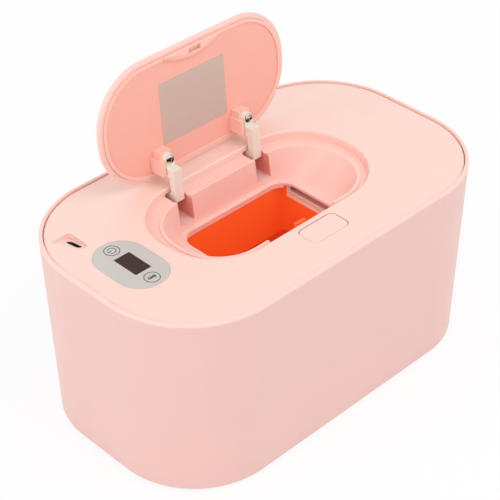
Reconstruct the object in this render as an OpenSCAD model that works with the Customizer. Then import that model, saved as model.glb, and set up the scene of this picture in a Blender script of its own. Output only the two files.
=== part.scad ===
// Baby wipe warmer: a rounded tub with a lift-off heated cover and a goose-neck dispensing lid.
// Millimetres, +Z up, origin on the ground under the middle of the body, front (button side) at -Y.
// The lid is drawn shut by its modules and then swung open about its hinge, as the photograph shows it.

/* [Body] */
// Length of the body over its rounded ends
body_l = 212; // [200:1:240]
// Width of the body, front to back
body_w = 126.4; // [122:0.2:140]
// Height of the cover's face above the base, without the feet
body_h = 98.5; // [92:0.5:120]
// Plan radius of the four body corners
corner_r = 47; // [40:1:52]
// How much each side leans in from the top down to the base
draft = 2.8; // [1:0.2:4]
// Wall of the outer shell
shell_wall = 2.4; // [2:0.1:3]
// Thickness of the shell's rim round the cover
rim_wall = 1.8; // [1.4:0.1:2]
// How far the shell's rim stands above the cover's face
rim_rise = 0.8; // [0.2:0.1:1.2]
// Gap of the seam between the rim and the cover
seam_gap = 0.3; // [0.2:0.05:0.5]
// Depth of the shelf that carries the tank, below the cover's face
shelf_depth = 16; // [15:0.5:20]

/* [Base] */
// Thickness of the base plate
base_t = 2.6; // [2:0.2:4]
// How far the feet stand out below the base
foot_h = 1.2; // [0.8:0.2:3]
// Diameter of a foot
foot_d = 14; // [10:1:18]
// Distance of a foot's middle from the end of the body
foot_end = 44; // [40:1:60]
// Distance of a foot's middle from the side of the body
foot_side = 27; // [25:1:40]
// Diameter of the pilot hole in a screw post
pilot_d = 2.4; // [2:0.1:2.8]
// Diameter of a self-tapping screw
screw_d = 3; // [2.6:0.1:3.2]

/* [Tank] */
// Wall of the inner tank
tank_wall = 1.8; // [1.4:0.1:2.6]
// Thickness of the insulation round the tank
foam_t = 3; // [2:0.5:4]
// Thickness of the tank's flange
flange_t = 2; // [1.6:0.2:2.6]

/* [Cover] */
// Thickness of the cover's face
face_t = 2.5; // [2:0.1:2.8]
// Thickness of the cover's skirt
skirt_wall = 2; // [1.6:0.2:2.6]
// Thickness of the sealing ring under the skirt
gasket_t = 1.8; // [1.2:0.2:2.4]
// How far the cover's features sit off the middle, along the length
feature_x = -0.4; // [-3:0.1:3]
// Depth of the underside tray's face below the cover's face
tray_depth = 26; // [24:0.5:30]
// Thickness of the underside tray
tray_t = 1.8; // [1.4:0.2:2.4]

/* [Lid recess] */
// Length of the recess that the lid closes into
recess_l = 118.8; // [112:0.2:124]
// Width of the recess
recess_w = 63.7; // [60:0.1:66]
// Plan radius of the recess corners
recess_r = 30; // [26:0.5:31]
// Middle of the recess, front to back
recess_y = 0.4; // [-1:0.1:1]
// Depth of the ledge under the lid's edge
ledge_h = 4.1; // [3.9:0.1:4.4]
// Width of the ledge outside the sealing bead
ledge_w = 5.2; // [4.8:0.1:6]
// Width of the sealing bead
bead_w = 1.6; // [1.2:0.1:2]
// Height of the sealing bead above the ledge
bead_h = 0.6; // [0.4:0.1:0.6]
// Offset of the sealing bead from the recess's middle, front to back
bead_off = -1.8; // [-2:0.1:0]

/* [Funnel] */
// Length of the dispensing opening
mouth_l = 69.4; // [60:0.2:76]
// Width of the dispensing opening
mouth_w = 39; // [34:0.5:42]
// Plan radius of the opening's corners
mouth_r = 8.5; // [6:0.5:12]
// Offset of the opening from the recess's middle, front to back
mouth_off = -0.95; // [-1.8:0.05:0]
// Depth of the funnel's floor
funnel_h = 19; // [17.4:0.2:20]
// Width of the funnel's floor at the ends of the opening
floor_end = 5; // [3:0.5:7]
// Width of the funnel's floor along the sides of the opening
floor_side = 2.6; // [2:0.2:4]
// Wall of the funnel
funnel_wall = 2; // [1.6:0.2:2.4]

/* [Lid] */
// Gap round the closed lid
lid_gap = 0.7; // [0.5:0.1:1]
// Thickness of the lid's edge
lid_t = 2.6; // [2.2:0.1:3]
// Thickness of the lid's outer shell at its middle
lid_shell_t = 1.3; // [1:0.1:1.6]
// Width of the lid shell's rim round the inner panel
lid_rim = 2.4; // [2:0.1:3]
// Width of the raised lip on the inner panel
lip_w = 1.7; // [1.2:0.1:2]
// Height of the raised lip
lip_h = 0.6; // [0.3:0.1:0.8]
// Angle that the lid opens from shut
open_angle = 94; // [85:1:98]

/* [Hinge] */
// Distance between the two hinge arms
arm_pitch = 50.9; // [46:0.1:56]
// Width of a hinge arm
arm_w = 5.1; // [4:0.1:5.6]
// Thickness of a hinge arm
arm_t = 3.4; // [3:0.1:3.6]
// Distance of the hinge pin behind the recess
pin_back = 5.6; // [5.2:0.1:6.4]
// Depth of the hinge pin below the cover's face
pin_depth = 5.1; // [5:0.1:5.6]
// Diameter of the hinge pin
pin_d = 2; // [1.6:0.1:2.4]
// Running clearance of the arm on its pin, on the radius
pin_fit = 0.05; // [0.03:0.01:0.1]
// Depth of the slot floor under the closed arm
slot_depth = 16; // [16:0.1:17]
// Width of a hinge slot
slot_w = 8.9; // [8:0.1:10]

/* [Release button] */
// Length of the button
button_l = 23; // [18:0.5:26]
// Width of the button
button_w = 12.2; // [10:0.2:13]
// Plan radius of the button's corners
button_r = 3.2; // [2:0.2:4]
// Distance of the button's middle in front of the recess
button_off = 9.6; // [9:0.1:10.8]
// Gap round the button
button_gap = 0.35; // [0.25:0.05:0.5]
// Travel of the button
button_travel = 2; // [1.5:0.1:2.2]
// Travel of the latch for a full press
latch_travel = 0.9; // [0.8:0.1:1.2]

/* [Control panel] */
// Length of the grey control panel, along the end of the cover
panel_l = 39; // [34:0.5:42]
// Width of the control panel
panel_w = 25.4; // [22:0.2:27]
// Distance of the panel's middle from the end of the body
panel_in = 25.95; // [25:0.05:28]
// Middle of the control panel, front to back
panel_y = 0; // [-3:0.5:3]
// Thickness of the control panel
panel_t = 0.8; // [0.6:0.1:1]
// Length of the display window
window_l = 15; // [12:0.5:18]
// Width of the display window
window_w = 9; // [8:0.5:11]
// Distance of each touch key from the middle of the panel
key_pitch = 13.5; // [12:0.1:14]

/* [Charging port] */
// Width of the port's metal shell
port_w = 8.94; // [8.9:0.01:9]
// Height of the port's metal shell
port_h = 3.26; // [3.2:0.01:3.3]
// Depth of the port's metal shell
port_l = 6.5; // [6:0.1:6.6]
// Distance of the port from the panel's middle, towards the end of the cover
port_out = 7.5; // [6:0.1:8]
// Distance of the port behind the panel's middle
port_back = 30.25; // [29:0.05:31]
// Depth of the port's opening below the cover's face
port_depth = 1.2; // [1:0.1:1.6]
// Slope of the ramp towards the end of the cover
ramp_angle = 15.25; // [12:0.25:18]
// Slope of the ramp towards the front
ramp_side = 7.3; // [5:0.1:9]

/* [Hidden] */

$fn = 64;
hull_fn = 48;
eps = 0.01;
cut = 1;

// Colours, as the photograph shows them
pink = [0.97, 0.82, 0.79];
face_pink = [0.98, 0.85, 0.81];
lining_pink = [0.99, 0.70, 0.63];
orange = [0.98, 0.33, 0.14];
ivory = [0.93, 0.85, 0.78];
steel = [0.75, 0.75, 0.77];

top_z = foot_h + body_h;

// Rim, skirt and tank plan radii share the centres of the body's corner arcs
cover_r = corner_r - rim_wall - seam_gap;
skirt_r = cover_r - 0.5;
skirt_depth = shelf_depth - flange_t - gasket_t;
tank_gap = draft + shell_wall + 0.9 + foam_t + 0.3;
tank_l = body_l - 2 * tank_gap;
tank_w = body_w - 2 * tank_gap;
tank_r = corner_r - tank_gap;
tank_floor_z = foot_h + base_t + 9.2;
flange_r = corner_r - draft * shelf_depth / body_h - shell_wall - 0.4;
screw_post_r = 3.8;
base_post_arc = (corner_r - draft - shell_wall - 3.2) * cos(45);
base_post_x = body_l / 2 - corner_r + base_post_arc;
base_post_y = body_w / 2 - corner_r + base_post_arc;
base_post_top = tank_floor_z - foam_t - 0.6;
rib_t = 1.6;
foot_x = body_l / 2 - foot_end;
foot_y = body_w / 2 - foot_side;

// The underside tray drops into the mouth of the tank
tray_gap = 2.2;
tray_l = tank_l - 2 * tank_wall - 2 * tray_gap;
tray_w = tank_w - 2 * tank_wall - 2 * tray_gap;
tray_r = tank_r - tank_wall - tray_gap;
post_x = tray_l / 2 - 34.6;
post_y = tray_w / 2 - 9.8;
mid_post_y = tray_w / 2 - 6.2;
tray_post = [[-post_x, post_y], [4, mid_post_y], [post_x, post_y],
    [-post_x, -post_y], [-26, -mid_post_y], [post_x, -post_y]];
sensor_x = tray_l / 2 - 30.6;
sensor_y = tray_w / 2 - 29.8;

// Sealing bead and funnel
recess_front = recess_y - recess_w / 2;
recess_back = recess_y + recess_w / 2;
mouth_y = recess_y + mouth_off;
bead_out = ledge_w + bead_w;
funnel_l = recess_l - 2 * bead_out;
funnel_w = recess_w - 2 * bead_out;
funnel_r = recess_r - bead_out;
neck_h = 2.7;
neck_wall = 1.8;

// Wipe guide: an open frame that hangs below the opening
guide_drop = 50;
guide_t = 1.5;
guide_l = mouth_l + 3;
guide_w = mouth_w + 1;
guide_r = 3;
guide_flange = 6;
rail_depth = 25.2;
rail_h = 0.6;
rail_t = 0.7;
rail_l = guide_w - 2 * guide_r;

// Heater under the tray
heater_t = 0.6;
plate_t = 1.2;

// Lid, drawn shut
lid_l = recess_l - 2 * lid_gap;
lid_w = recess_w - 2 * lid_gap;
lid_r = recess_r - lid_gap;
inner_l = lid_l - 2 * lid_rim - 0.2;
inner_w = lid_w - 2 * lid_rim - 0.2;
inner_r = lid_r - lid_rim - 0.1;
lid_front = recess_front + lid_gap;
lid_fillet = 1.25;

// Hinge arms, drawn shut
arm_x = [feature_x - arm_pitch / 2, feature_x + arm_pitch / 2];
pin_y = recess_back + pin_back;
pin_z = top_z - pin_depth;
arm_bottom = slot_depth - 0.5;
arm_front = recess_back - 9.4;
arm_back = pin_y + 2;
arm_boss_r = 2.4;
tab_top = 8.3;
tab_bottom = 10.7;
hinge_screw_y = arm_front - 3.9;
slot_left = 5.3;
slot_back = pin_y + 3.2;
slot_wall = 1.6;
slot_front = recess_back - 14.6;

// Button and latch
button_y = recess_front - button_off;
hook_w = 6.4;
hook_t = 1.2;
hook_top = 3.9;
barb = 0.6;
barb_h = 0.55;
catch_w = 35;
catch_sag = 4.2;
catch_drop = 5.1;
catch_y = lid_front + lid_rim + lip_w + 0.4;
slider_top = 6.9;
slider_t = 2.2;
hook_y = lid_front + 4.4;
pocket_w = 42.4;
pocket_h = slider_top + slider_t + 0.3;
wedge_slope = latch_travel / button_travel;
wedge_y = button_y + 2.6;
slider_w = 6.2;
wing_y = wedge_y + 1.6;

button_skirt = 4.6;
collar_t = 1.4;
collar_h = button_skirt + 1.6;
spring_y = button_y - 2.1;
spring_seat = 16;

// Electronics
panel_x = panel_in - body_l / 2;
panel_r = panel_w / 2 - 0.1;
window_x = panel_x + 0.8;
board_depth = 9;
board_t = 1.2;
lead_x = window_x + 16.9;
lead_y = panel_y + 13.7;
port_x = panel_x - port_out;
port_y = panel_y + port_back;
ramp_x = port_x + 3.2;
ramp_y = port_y + 0.4;
ramp_w = 14;
board_post_x = window_x + 13.5;
board_post_y = 15;

module round_rect(l, w, r) {
    union() {
        square([l - 2 * r, w], center = true);
        square([l, w - 2 * r], center = true);
        for (x = [-1, 1], y = [-1, 1]) translate([x * (l / 2 - r), y * (w / 2 - r)]) circle(r);
    }
}

// A rounded plate whose upper face lies a given depth below the cover's face
module plate(l, w, r, depth, t) {
    translate([0, 0, top_z - depth - t]) linear_extrude(t) round_rect(l, w, r);
}

// Sweeps a profile round a rounded rectangle: x is measured out from the corner arcs' centres
module around(l, w, r) {
    cx = l / 2 - r;
    cy = w / 2 - r;
    for (q = [0 : 3]) {
        translate([(q == 0 || q == 3) ? cx : -cx, q < 2 ? cy : -cy, 0])
            rotate([0, 0, 90 * q]) rotate_extrude(angle = 90) children();
    }
    for (s = [0, 180]) {
        rotate([0, 0, s]) translate([cx, 0, 0]) rotate([90, 0, 0]) linear_extrude(2 * cy, center = true)
            children();
        rotate([0, 0, s + 90]) translate([cy, 0, 0]) rotate([90, 0, 0])
            linear_extrude(2 * cx, center = true) children();
    }
}

// Radius of the body's outer face at a height
function body_r(z) = corner_r - draft * (top_z - z) / body_h;

// A coil spring whose wire may end in straight legs, tangent to its first and last turns
module spring(r, wire, turns, h, legs = [0, 0]) {
    pitch = (h - 2 * wire) / turns;
    rings = turns * 10;
    sides = 6;
    first = legs[0] > 0 ? -1 : 0;
    last = legs[1] > 0 ? rings + 1 : rings;
    points = [for (i = [first : last], s = [0 : sides - 1])
        let (k = max(0, min(rings, i)), a = 360 * turns * k / rings, t = 360 * s / sides,
            rr = r + wire / 2 * cos(t), leg = i < 0 ? -legs[0] : i > rings ? legs[1] : 0)
        [rr * cos(a) - leg * sin(a), rr * sin(a) + leg * cos(a),
            wire + pitch * turns * k / rings + wire / 2 * sin(t)]];
    count = last - first;
    skin = [for (i = [0 : count - 1], s = [0 : sides - 1])
        let (n = (s + 1) % sides, a = i * sides, b = a + sides)
        each [[a + s, b + s, b + n], [a + s, b + n, a + n]]];
    ends = [[for (s = [0 : sides - 1]) s], [for (s = [0 : sides - 1]) count * sides + sides - 1 - s]];
    polyhedron(points, concat(skin, ends), convexity = 8);
}

// ---------------------------------------------------------------- body

module base_post_places() {
    for (x = [-1, 1], y = [-1, 1]) translate([x * base_post_x, y * base_post_y, 0]) children();
}

module outer_shell() color(pink) {
    rim_z = top_z + rim_rise;
    step_z = top_z - shelf_depth + 1.6;
    shelf_z = top_z - shelf_depth;
    rim_fillet = 1.1;
    fillet_z = rim_z - rim_fillet;
    difference() {
        union() {
            around(body_l, body_w, corner_r) union() {
                polygon([[body_r(foot_h) - 0.8, foot_h], [body_r(foot_h), foot_h + 0.8],
                    [body_r(fillet_z), fillet_z], [body_r(fillet_z) - rim_fillet, fillet_z],
                    [body_r(fillet_z) - rim_fillet, rim_z], [corner_r - rim_wall, rim_z],
                    [body_r(step_z) - rim_wall, step_z], [body_r(step_z - 0.6) - shell_wall, step_z - 0.6],
                    [body_r(foot_h) - shell_wall, foot_h]]);
                intersection() {
                    translate([body_r(fillet_z) - rim_fillet, fillet_z]) circle(rim_fillet);
                    translate([body_r(fillet_z) - rim_fillet - eps, fillet_z - eps]) square(rim_fillet + 1);
                }
                // Shelf for the tank, with a sloped underside
                polygon([[body_r(shelf_z) - shell_wall - 4, shelf_z],
                    [body_r(shelf_z) - shell_wall + 0.4, shelf_z],
                    [body_r(shelf_z - 6) - shell_wall + 0.4, shelf_z - 6],
                    [body_r(shelf_z) - shell_wall - 4, shelf_z - 1.8]]);
            }
            base_post_places() translate([0, 0, foot_h + base_t + 0.2])
                cylinder(h = base_post_top - foot_h - base_t - 0.2, r = screw_post_r);
        }
        base_post_places() translate([0, 0, foot_h]) cylinder(h = base_post_top - foot_h - 0.8, d = pilot_d);
    }
}

module base_plate() color(pink) {
    gap = 0.4;
    inset = draft + shell_wall + gap;
    rib_z = base_post_top / 2 + 0.1;
    rib_h = base_post_top - 2 * foot_h + 0.2;
    difference() {
        union() {
            translate([0, 0, foot_h]) linear_extrude(base_t)
                round_rect(body_l - 2 * inset, body_w - 2 * inset, corner_r - inset);
            // Ribs that carry the insulation and the tank
            for (y = [-1, 1]) translate([0, y * (body_w / 2 - 33.2), rib_z])
                cube([body_l - 62, rib_t, rib_h], center = true);
            for (x = [-1, 1]) translate([x * (body_l / 2 - 60), 0, rib_z])
                cube([rib_t, body_w - 50.4, rib_h], center = true);
        }
        for (x = [-1, 1], y = [-1, 1]) translate([x * foot_x, y * foot_y, foot_h - cut])
            cylinder(h = cut + 1, d = foot_d + 0.4);
        base_post_places() translate([0, 0, foot_h - cut]) cylinder(h = base_t + 2 * cut, d = screw_d + 0.4);
        base_post_places() translate([0, 0, foot_h - cut]) cylinder(h = 1.2 + cut, d = 7);
        // Air slots under the tank
        for (i = [-3 : 3]) translate([i * 9, 0, foot_h + base_t / 2])
            cube([2, 40, base_t + cut], center = true);
    }
}

module rubber_feet() color("dimgray")
    for (x = [-1, 1], y = [-1, 1]) translate([x * foot_x, y * foot_y, 0])
        rotate_extrude()
            polygon([[0, 0], [foot_d / 2 - 0.6, 0], [foot_d / 2, 0.6],
                [foot_d / 2, foot_h + 1], [0, foot_h + 1]]);

module base_screws() color(steel)
    base_post_places() translate([0, 0, foot_h + 1.2]) {
        translate([0, 0, -1.1]) cylinder(h = 1.1, d = 5.6);
        cylinder(h = base_post_top - foot_h - 2.2, d = pilot_d);
    }

module inner_tank() color(orange) {
    flange_z = top_z - shelf_depth;
    difference() {
        union() {
            translate([0, 0, tank_floor_z]) linear_extrude(flange_z - tank_floor_z + eps)
                round_rect(tank_l, tank_w, tank_r);
            translate([0, 0, flange_z]) linear_extrude(flange_t)
                round_rect(body_l - 2 * (corner_r - flange_r), body_w - 2 * (corner_r - flange_r), flange_r);
        }
        translate([0, 0, tank_floor_z + tank_wall]) linear_extrude(body_h)
            round_rect(tank_l - 2 * tank_wall, tank_w - 2 * tank_wall, tank_r - tank_wall);
    }
    // Drip ribs on the floor
    for (i = [-3 : 3]) translate([i * 22, 0, tank_floor_z + tank_wall + 0.6 - eps])
        cube([2, tank_w - 40, 1.2], center = true);
}

module tank_insulation() color("whitesmoke") {
    clear = 0.3;
    difference() {
        translate([0, 0, tank_floor_z - foam_t - clear])
            linear_extrude(top_z - shelf_depth - 7 - tank_floor_z + foam_t)
            round_rect(tank_l + 2 * foam_t, tank_w + 2 * foam_t, tank_r + foam_t);
        translate([0, 0, tank_floor_z - clear]) linear_extrude(body_h)
            round_rect(tank_l + 2 * clear, tank_w + 2 * clear, tank_r + clear);
    }
}

// ---------------------------------------------------------------- cover

// A stack of two rounded plates joined by straight walls
module loft(l1, w1, r1, y1, d1, l2, w2, r2, y2, d2) {
    hull() {
        translate([feature_x, y1, top_z - d1]) linear_extrude(eps) round_rect(l1, w1, r1, $fn = hull_fn);
        translate([feature_x, y2, top_z - d2]) linear_extrude(eps) round_rect(l2, w2, r2, $fn = hull_fn);
    }
}

module funnel_void() {
    loft(funnel_l, funnel_w, funnel_r, recess_y + bead_off, ledge_h - bead_h,
        mouth_l + 2 * floor_end, mouth_w + 2 * floor_side, mouth_r + floor_end, mouth_y, funnel_h);
}

module funnel_body() {
    w = 2 * funnel_wall;
    loft(funnel_l + w, funnel_w + w, funnel_r + funnel_wall, recess_y + bead_off, ledge_h,
        mouth_l + 2 * floor_end + w, mouth_w + 2 * floor_side + w, mouth_r + floor_end + funnel_wall,
            mouth_y, funnel_h + funnel_wall);
}

module slot_places() {
    for (x = arm_x) translate([x - slot_left, 0, 0]) children();
}

module slot_box(grow, top, front) {
    translate([-grow, front, top_z - slot_depth - grow])
        cube([slot_w + 2 * grow, slot_back + grow - front, slot_depth + grow - top]);
}

// The prism that bounds the ramp, and the half-space above the ramp's floor
module ramp_prism(grow) {
    translate([ramp_x - 7.5, ramp_y, top_z - 7]) linear_extrude(9)
        round_rect(15 + 2 * grow, ramp_w + 2 * grow, 2 + grow);
}

module ramp_space(below) {
    port_turn() translate([-2, 0, 5 - below]) cube([40, 30, 10], center = true);
}

module collar(l, w, r, depth, h) {
    translate([0, button_y, 0]) plate(l, w, r, depth, h);
}

module port_turn() {
    translate([port_x, port_y, top_z - port_depth]) rotate([-ramp_side, ramp_angle, 0]) children();
}

module top_cover() color(face_pink) {
    l = body_l - 2 * (corner_r - cover_r);
    w = body_w - 2 * (corner_r - cover_r);
    difference() {
        union() {
            // Face with a rounded edge, then the skirt
            plate(l, w, cover_r, 0.8, face_t - 0.8);
            translate([0, 0, top_z - 0.8]) linear_extrude(0.8) round_rect(l - 1.6, w - 1.6, cover_r - 0.8);
            around(l, w, cover_r) intersection() {
                translate([cover_r - 0.8, top_z - 0.8]) circle(0.8);
                translate([cover_r - 0.9, top_z - 0.9]) square(1.2);
            }
            around(l, w, cover_r) translate([skirt_r - skirt_wall, top_z - skirt_depth])
                square([skirt_wall, skirt_depth - 0.8]);
            // Recess tub, funnel and neck
            translate([feature_x, recess_y, 0])
                plate(recess_l + 3.2, recess_w + 3.2, recess_r + 1.6, 1, ledge_h + 0.8);
            funnel_body();
            translate([feature_x, mouth_y, 0])
                plate(mouth_l + 2 * neck_wall, mouth_w + 2 * neck_wall, mouth_r + neck_wall,
                funnel_h + 0.4, neck_h - 0.4);
            slot_places() slot_box(slot_wall, 1, slot_front);
            // Latch pocket in the front of the recess
            translate([feature_x, recess_front + 3, top_z - pocket_h / 2 - 1.2])
                cube([pocket_w + 3.2, 9.2, pocket_h + 0.8], center = true);
            translate([feature_x, 0, 0])
                collar(button_l + 2 * button_gap + 2 * collar_t, button_w + 2 * button_gap + 2 * collar_t,
                button_r + button_gap + collar_t, 1, collar_h - 1);
            // Posts for the tray's screws, and stiffening ribs
            for (p = tray_post) translate([p[0], p[1], top_z - tray_depth + 0.3])
                cylinder(h = tray_depth - 1.3, r = 3.2);
            for (s = [-1, 1]) {
                translate([s * (body_l / 2 - 36), 0, top_z - 3.6])
                    cube([rib_t, body_w - 34.4, 3.6], center = true);
                translate([0, s * (body_w / 2 - 11.2), top_z - 3.6])
                    cube([body_l - 82, rib_t, 3.6], center = true);
            }
            // Floor of the ramp and a collar round the port
            intersection() {
                ramp_prism(1.6);
                ramp_space(2);
                plate(l - 2.4, w - 2.4, cover_r - 1.2, 1, 8);
            }
            port_turn() translate([0, 0, -3.4]) linear_extrude(3) round_rect(6.8, 12.6, 3);
            // Lug behind the latch's spring
            translate([feature_x + 7, wing_y - 5.4, top_z - slider_top - slider_t - 0.2])
                cube([5, 1.6, slider_t + 1.4]);
            for (y = [-1, 1])
                translate([board_post_x, panel_y + y * board_post_y, top_z - board_depth + 0.1])
                    cylinder(h = board_depth - 1, r = 2.4);
        }
        // Lid recess with a rounded top edge
        translate([feature_x, recess_y, 0]) {
            plate(recess_l, recess_w, recess_r, -cut, ledge_h - bead_h + cut);
            around(recess_l, recess_w, recess_r) difference() {
                translate([recess_r - eps, top_z - 1]) square([1 + eps, 1 + cut]);
                translate([recess_r + 1, top_z - 1]) circle(1);
            }
            difference() {
                plate(recess_l, recess_w, recess_r, 0, ledge_h);
                translate([0, bead_off, 0])
                    plate(recess_l - 2 * ledge_w, recess_w - 2 * ledge_w, recess_r - ledge_w, -cut,
                        ledge_h + 2 * cut);
            }
        }
        funnel_void();
        translate([feature_x, mouth_y, 0]) plate(mouth_l, mouth_w, mouth_r, funnel_h - cut, neck_h + 2 * cut);
        // The neck is lower at its ends, above the guide's air slots
        for (s = [-1, 1])
            translate([feature_x + s * (mouth_l / 2 - 0.8) - 3.2, mouth_y - rail_l / 2,
                top_z - funnel_h - neck_h - cut])
            cube([6.4, rail_l, neck_h + cut - 1.3]);
        slot_places() slot_box(0, face_t + 0.1, slot_front - 4);
        slot_places() translate([0, slot_front - 4, top_z - 5])
            cube([slot_w, recess_y + recess_w / 2 - slot_front + 4, 6]);
        for (x = arm_x) translate([x - slot_left - slot_wall - 0.4, pin_y, pin_z]) rotate([0, 90, 0])
            cylinder(h = slot_w + 2 * slot_wall + 0.8, d = pin_d + 0.02);
        // Latch pocket, open to the funnel, and the window for the latch
        translate([feature_x, recess_front + 4.6, top_z - pocket_h / 2])
            cube([pocket_w, 9.2, pocket_h + eps], center = true);
        translate([feature_x, recess_front, top_z - slider_top - slider_t / 2])
            cube([slider_w + 0.6, 8, slider_t + 0.6], center = true);
        translate([feature_x, 0, 0])
            collar(button_l + 2 * button_gap, button_w + 2 * button_gap, button_r + button_gap, -cut,
                collar_h + 2 * cut);
        // Seat for the control panel, the display window and the touch springs
        translate([panel_x, panel_y, 0])
            plate(panel_w + 0.2, panel_l + 0.2, panel_r + 0.1, -cut, panel_t + cut);
        translate([window_x, panel_y, 0]) plate(window_w + 1, window_l + 1, 0.8, 0, face_t + cut);
        for (y = [-1, 1]) translate([window_x, panel_y + y * key_pitch, top_z - face_t - cut])
            cylinder(h = face_t + cut, d = 6.4);
        // Ramp and slot of the charging port
        intersection() {
            ramp_prism(0);
            ramp_space(0);
        }
        port_turn() translate([0, 0, -9]) linear_extrude(14)
            round_rect(port_h + 0.2, port_w + 0.2, port_h / 2 + 0.08);
        for (y = [-1, 1]) translate([board_post_x, panel_y + y * board_post_y, top_z - board_depth - 0.1])
            cylinder(h = 6, d = 1.6);
        for (p = tray_post) translate([p[0], p[1], top_z - tray_depth]) cylinder(h = 14, d = pilot_d);
    }
}

module underside_tray() color(pink) {
    difference() {
        union() {
            plate(tray_l, tray_w, tray_r, skirt_depth - 1, tray_depth + tray_t - skirt_depth + 1);
            plate(body_l - 2 * (corner_r - skirt_r + skirt_wall + 0.4),
                body_w - 2 * (corner_r - skirt_r + skirt_wall + 0.4),
                skirt_r - skirt_wall - 0.4, skirt_depth - 1, 1.4);
        }
        plate(tray_l - 3.2, tray_w - 3.2, tray_r - 1.6, 0, tray_depth);
        translate([feature_x, mouth_y, 0])
            plate(guide_l + 2 * guide_t + 0.8, guide_w + 2 * guide_t + 0.8, guide_r + guide_t + 0.4, 0,
                tray_depth + 10);
        for (p = tray_post) translate([p[0], p[1], top_z - tray_depth - tray_t - cut])
            cylinder(h = 10, d = screw_d + 0.4);
        for (y = [-1.2, 1.2]) translate([lead_x + 9, lead_y + y, top_z - tray_depth - tray_t - cut])
            cylinder(h = 4, d = 1.6);
    }
    // Seat of the button's spring, and a pad under the latch
    translate([feature_x, 0, top_z - tray_depth - eps]) difference() {
        union() {
            translate([0, spring_y, 0]) cylinder(h = tray_depth - spring_seat + 1.6, r = 4);
            translate([-2.5, wedge_y + 2.2, 0]) cube([5, 2.2, tray_depth - pocket_h]);
            translate([-0.8, spring_y, 0]) cube([1.6, wedge_y + 3 - spring_y, tray_depth - spring_seat]);
        }
        translate([0, spring_y, tray_depth - spring_seat]) cylinder(h = 4, r = 2.7);
    }
}

module tray_screws() color(steel)
    for (p = tray_post) translate([p[0], p[1], top_z - tray_depth - tray_t]) {
        cylinder(h = 12, d = pilot_d);
        translate([0, 0, -1.4]) cylinder(h = 1.4, d = 5.4);
    }

module cover_gasket() color("white")
    around(body_l - 2 * (corner_r - cover_r), body_w - 2 * (corner_r - cover_r), cover_r)
        translate([skirt_r - skirt_wall - 0.3, top_z - skirt_depth - gasket_t + 0.1])
            square([skirt_wall + 0.3, gasket_t - 0.2]);

module ring_plate(l, w, r, depth, t, hole_l, hole_w, hole_r) {
    difference() {
        plate(l, w, r, depth, t);
        translate([feature_x, mouth_y, 0]) plate(hole_l, hole_w, hole_r, depth - cut, t + 2 * cut);
        for (p = tray_post) translate([p[0], p[1], top_z - depth - t - cut]) cylinder(h = t + 2 * cut, d = 7);
    }
}

module heater_film() color("goldenrod")
    ring_plate(tray_l - 14, tray_w - 10, tray_r - 6, tray_depth + tray_t, heater_t,
        guide_l + 2 * guide_t + 14, guide_w + 2 * guide_t + 6, guide_r + 4);

module heat_plate() color("silver")
    ring_plate(tray_l - 10, tray_w - 6, tray_r - 4, tray_depth + tray_t + heater_t, plate_t,
        guide_l + 2 * guide_t + 13, guide_w + 2 * guide_t + 5, guide_r + 4);

module temperature_sensor() color("black")
    translate([sensor_x, -sensor_y, top_z - tray_depth]) {
        linear_extrude(2.4) round_rect(8, 4, 1.8);
        for (y = [-1, 1]) translate([-3.4, y, 1.2]) rotate([0, -90, 0]) cylinder(h = 14, d = 0.8, $fn = 16);
    }

module thermal_fuse() color("white")
    translate([sensor_x, sensor_y + 2, top_z - tray_depth]) {
        translate([-6, 0, 1.8]) rotate([0, 90, 0]) cylinder(h = 12, r = 1.8);
        for (s = [-1, 1]) translate([s * 6, 0, 1.8]) rotate([0, s * 90, 0])
            cylinder(h = 8, d = 0.9, $fn = 16);
    }

// Two leads from the control board down to the tray, along it and down through it to the heater
module heater_leads() color("firebrick")
    for (y = [-1.2, 1.2]) translate([lead_x, lead_y + y, 0]) {
        bend = 1.2;
        low = top_z - tray_depth + 1.2;
        run = 9;
        translate([0, 0, low + bend])
            cylinder(h = tray_depth - board_depth - board_t - 1.2 - bend - 0.2, d = 1.4, $fn = 24);
        translate([bend, 0, low + bend]) rotate([90, 0, 0]) rotate_extrude(angle = 90, start = 180)
            translate([bend, 0]) circle(d = 1.4, $fn = 24);
        translate([bend, 0, low]) rotate([0, 90, 0]) cylinder(h = run - 2 * bend, d = 1.4, $fn = 24);
        translate([run - bend, 0, low - bend]) rotate([90, 0, 0]) rotate_extrude(angle = 90)
            translate([bend, 0]) circle(d = 1.4, $fn = 24);
        translate([run, 0, top_z - tray_depth - tray_t + 0.05])
            cylinder(h = low - bend - top_z + tray_depth + tray_t - 0.05, d = 1.4, $fn = 24);
    }

// The guide's long walls reach up to the neck; its end walls stop above the flange, under one thin rail each
module wipe_guide() color(orange)
    translate([feature_x, mouth_y, 0]) difference() {
        union() {
            plate(guide_l + 2 * guide_t, guide_w + 2 * guide_t, guide_r + guide_t,
                funnel_h + neck_h + 0.2, guide_drop - funnel_h - neck_h - 0.2);
            difference() {
                plate(guide_l + 2 * guide_t + 2 * guide_flange, guide_w + 2 * guide_t + 4, guide_r + 4,
                    tray_depth + tray_t + 0.1, 1.6);
                plate(guide_l, guide_w + 2, guide_r, tray_depth, 6);
            }
        }
        plate(guide_l, guide_w, guide_r, funnel_h, guide_drop);
        // Air slots above and below the rail, and the relief that thins it
        for (s = [-1, 1]) {
            for (z = [[funnel_h, rail_depth], [rail_depth + rail_h, tray_depth + tray_t]])
                translate([s * (guide_l / 2 + 0.4) - 2, -rail_l / 2, top_z - z[1]])
                    cube([4, rail_l, z[1] - z[0]]);
            translate([s * (guide_l / 2 + rail_t + 2) - 2, -rail_l / 2, top_z - tray_depth - tray_t])
                cube([4, rail_l, tray_depth + tray_t - funnel_h]);
        }
    }

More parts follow.
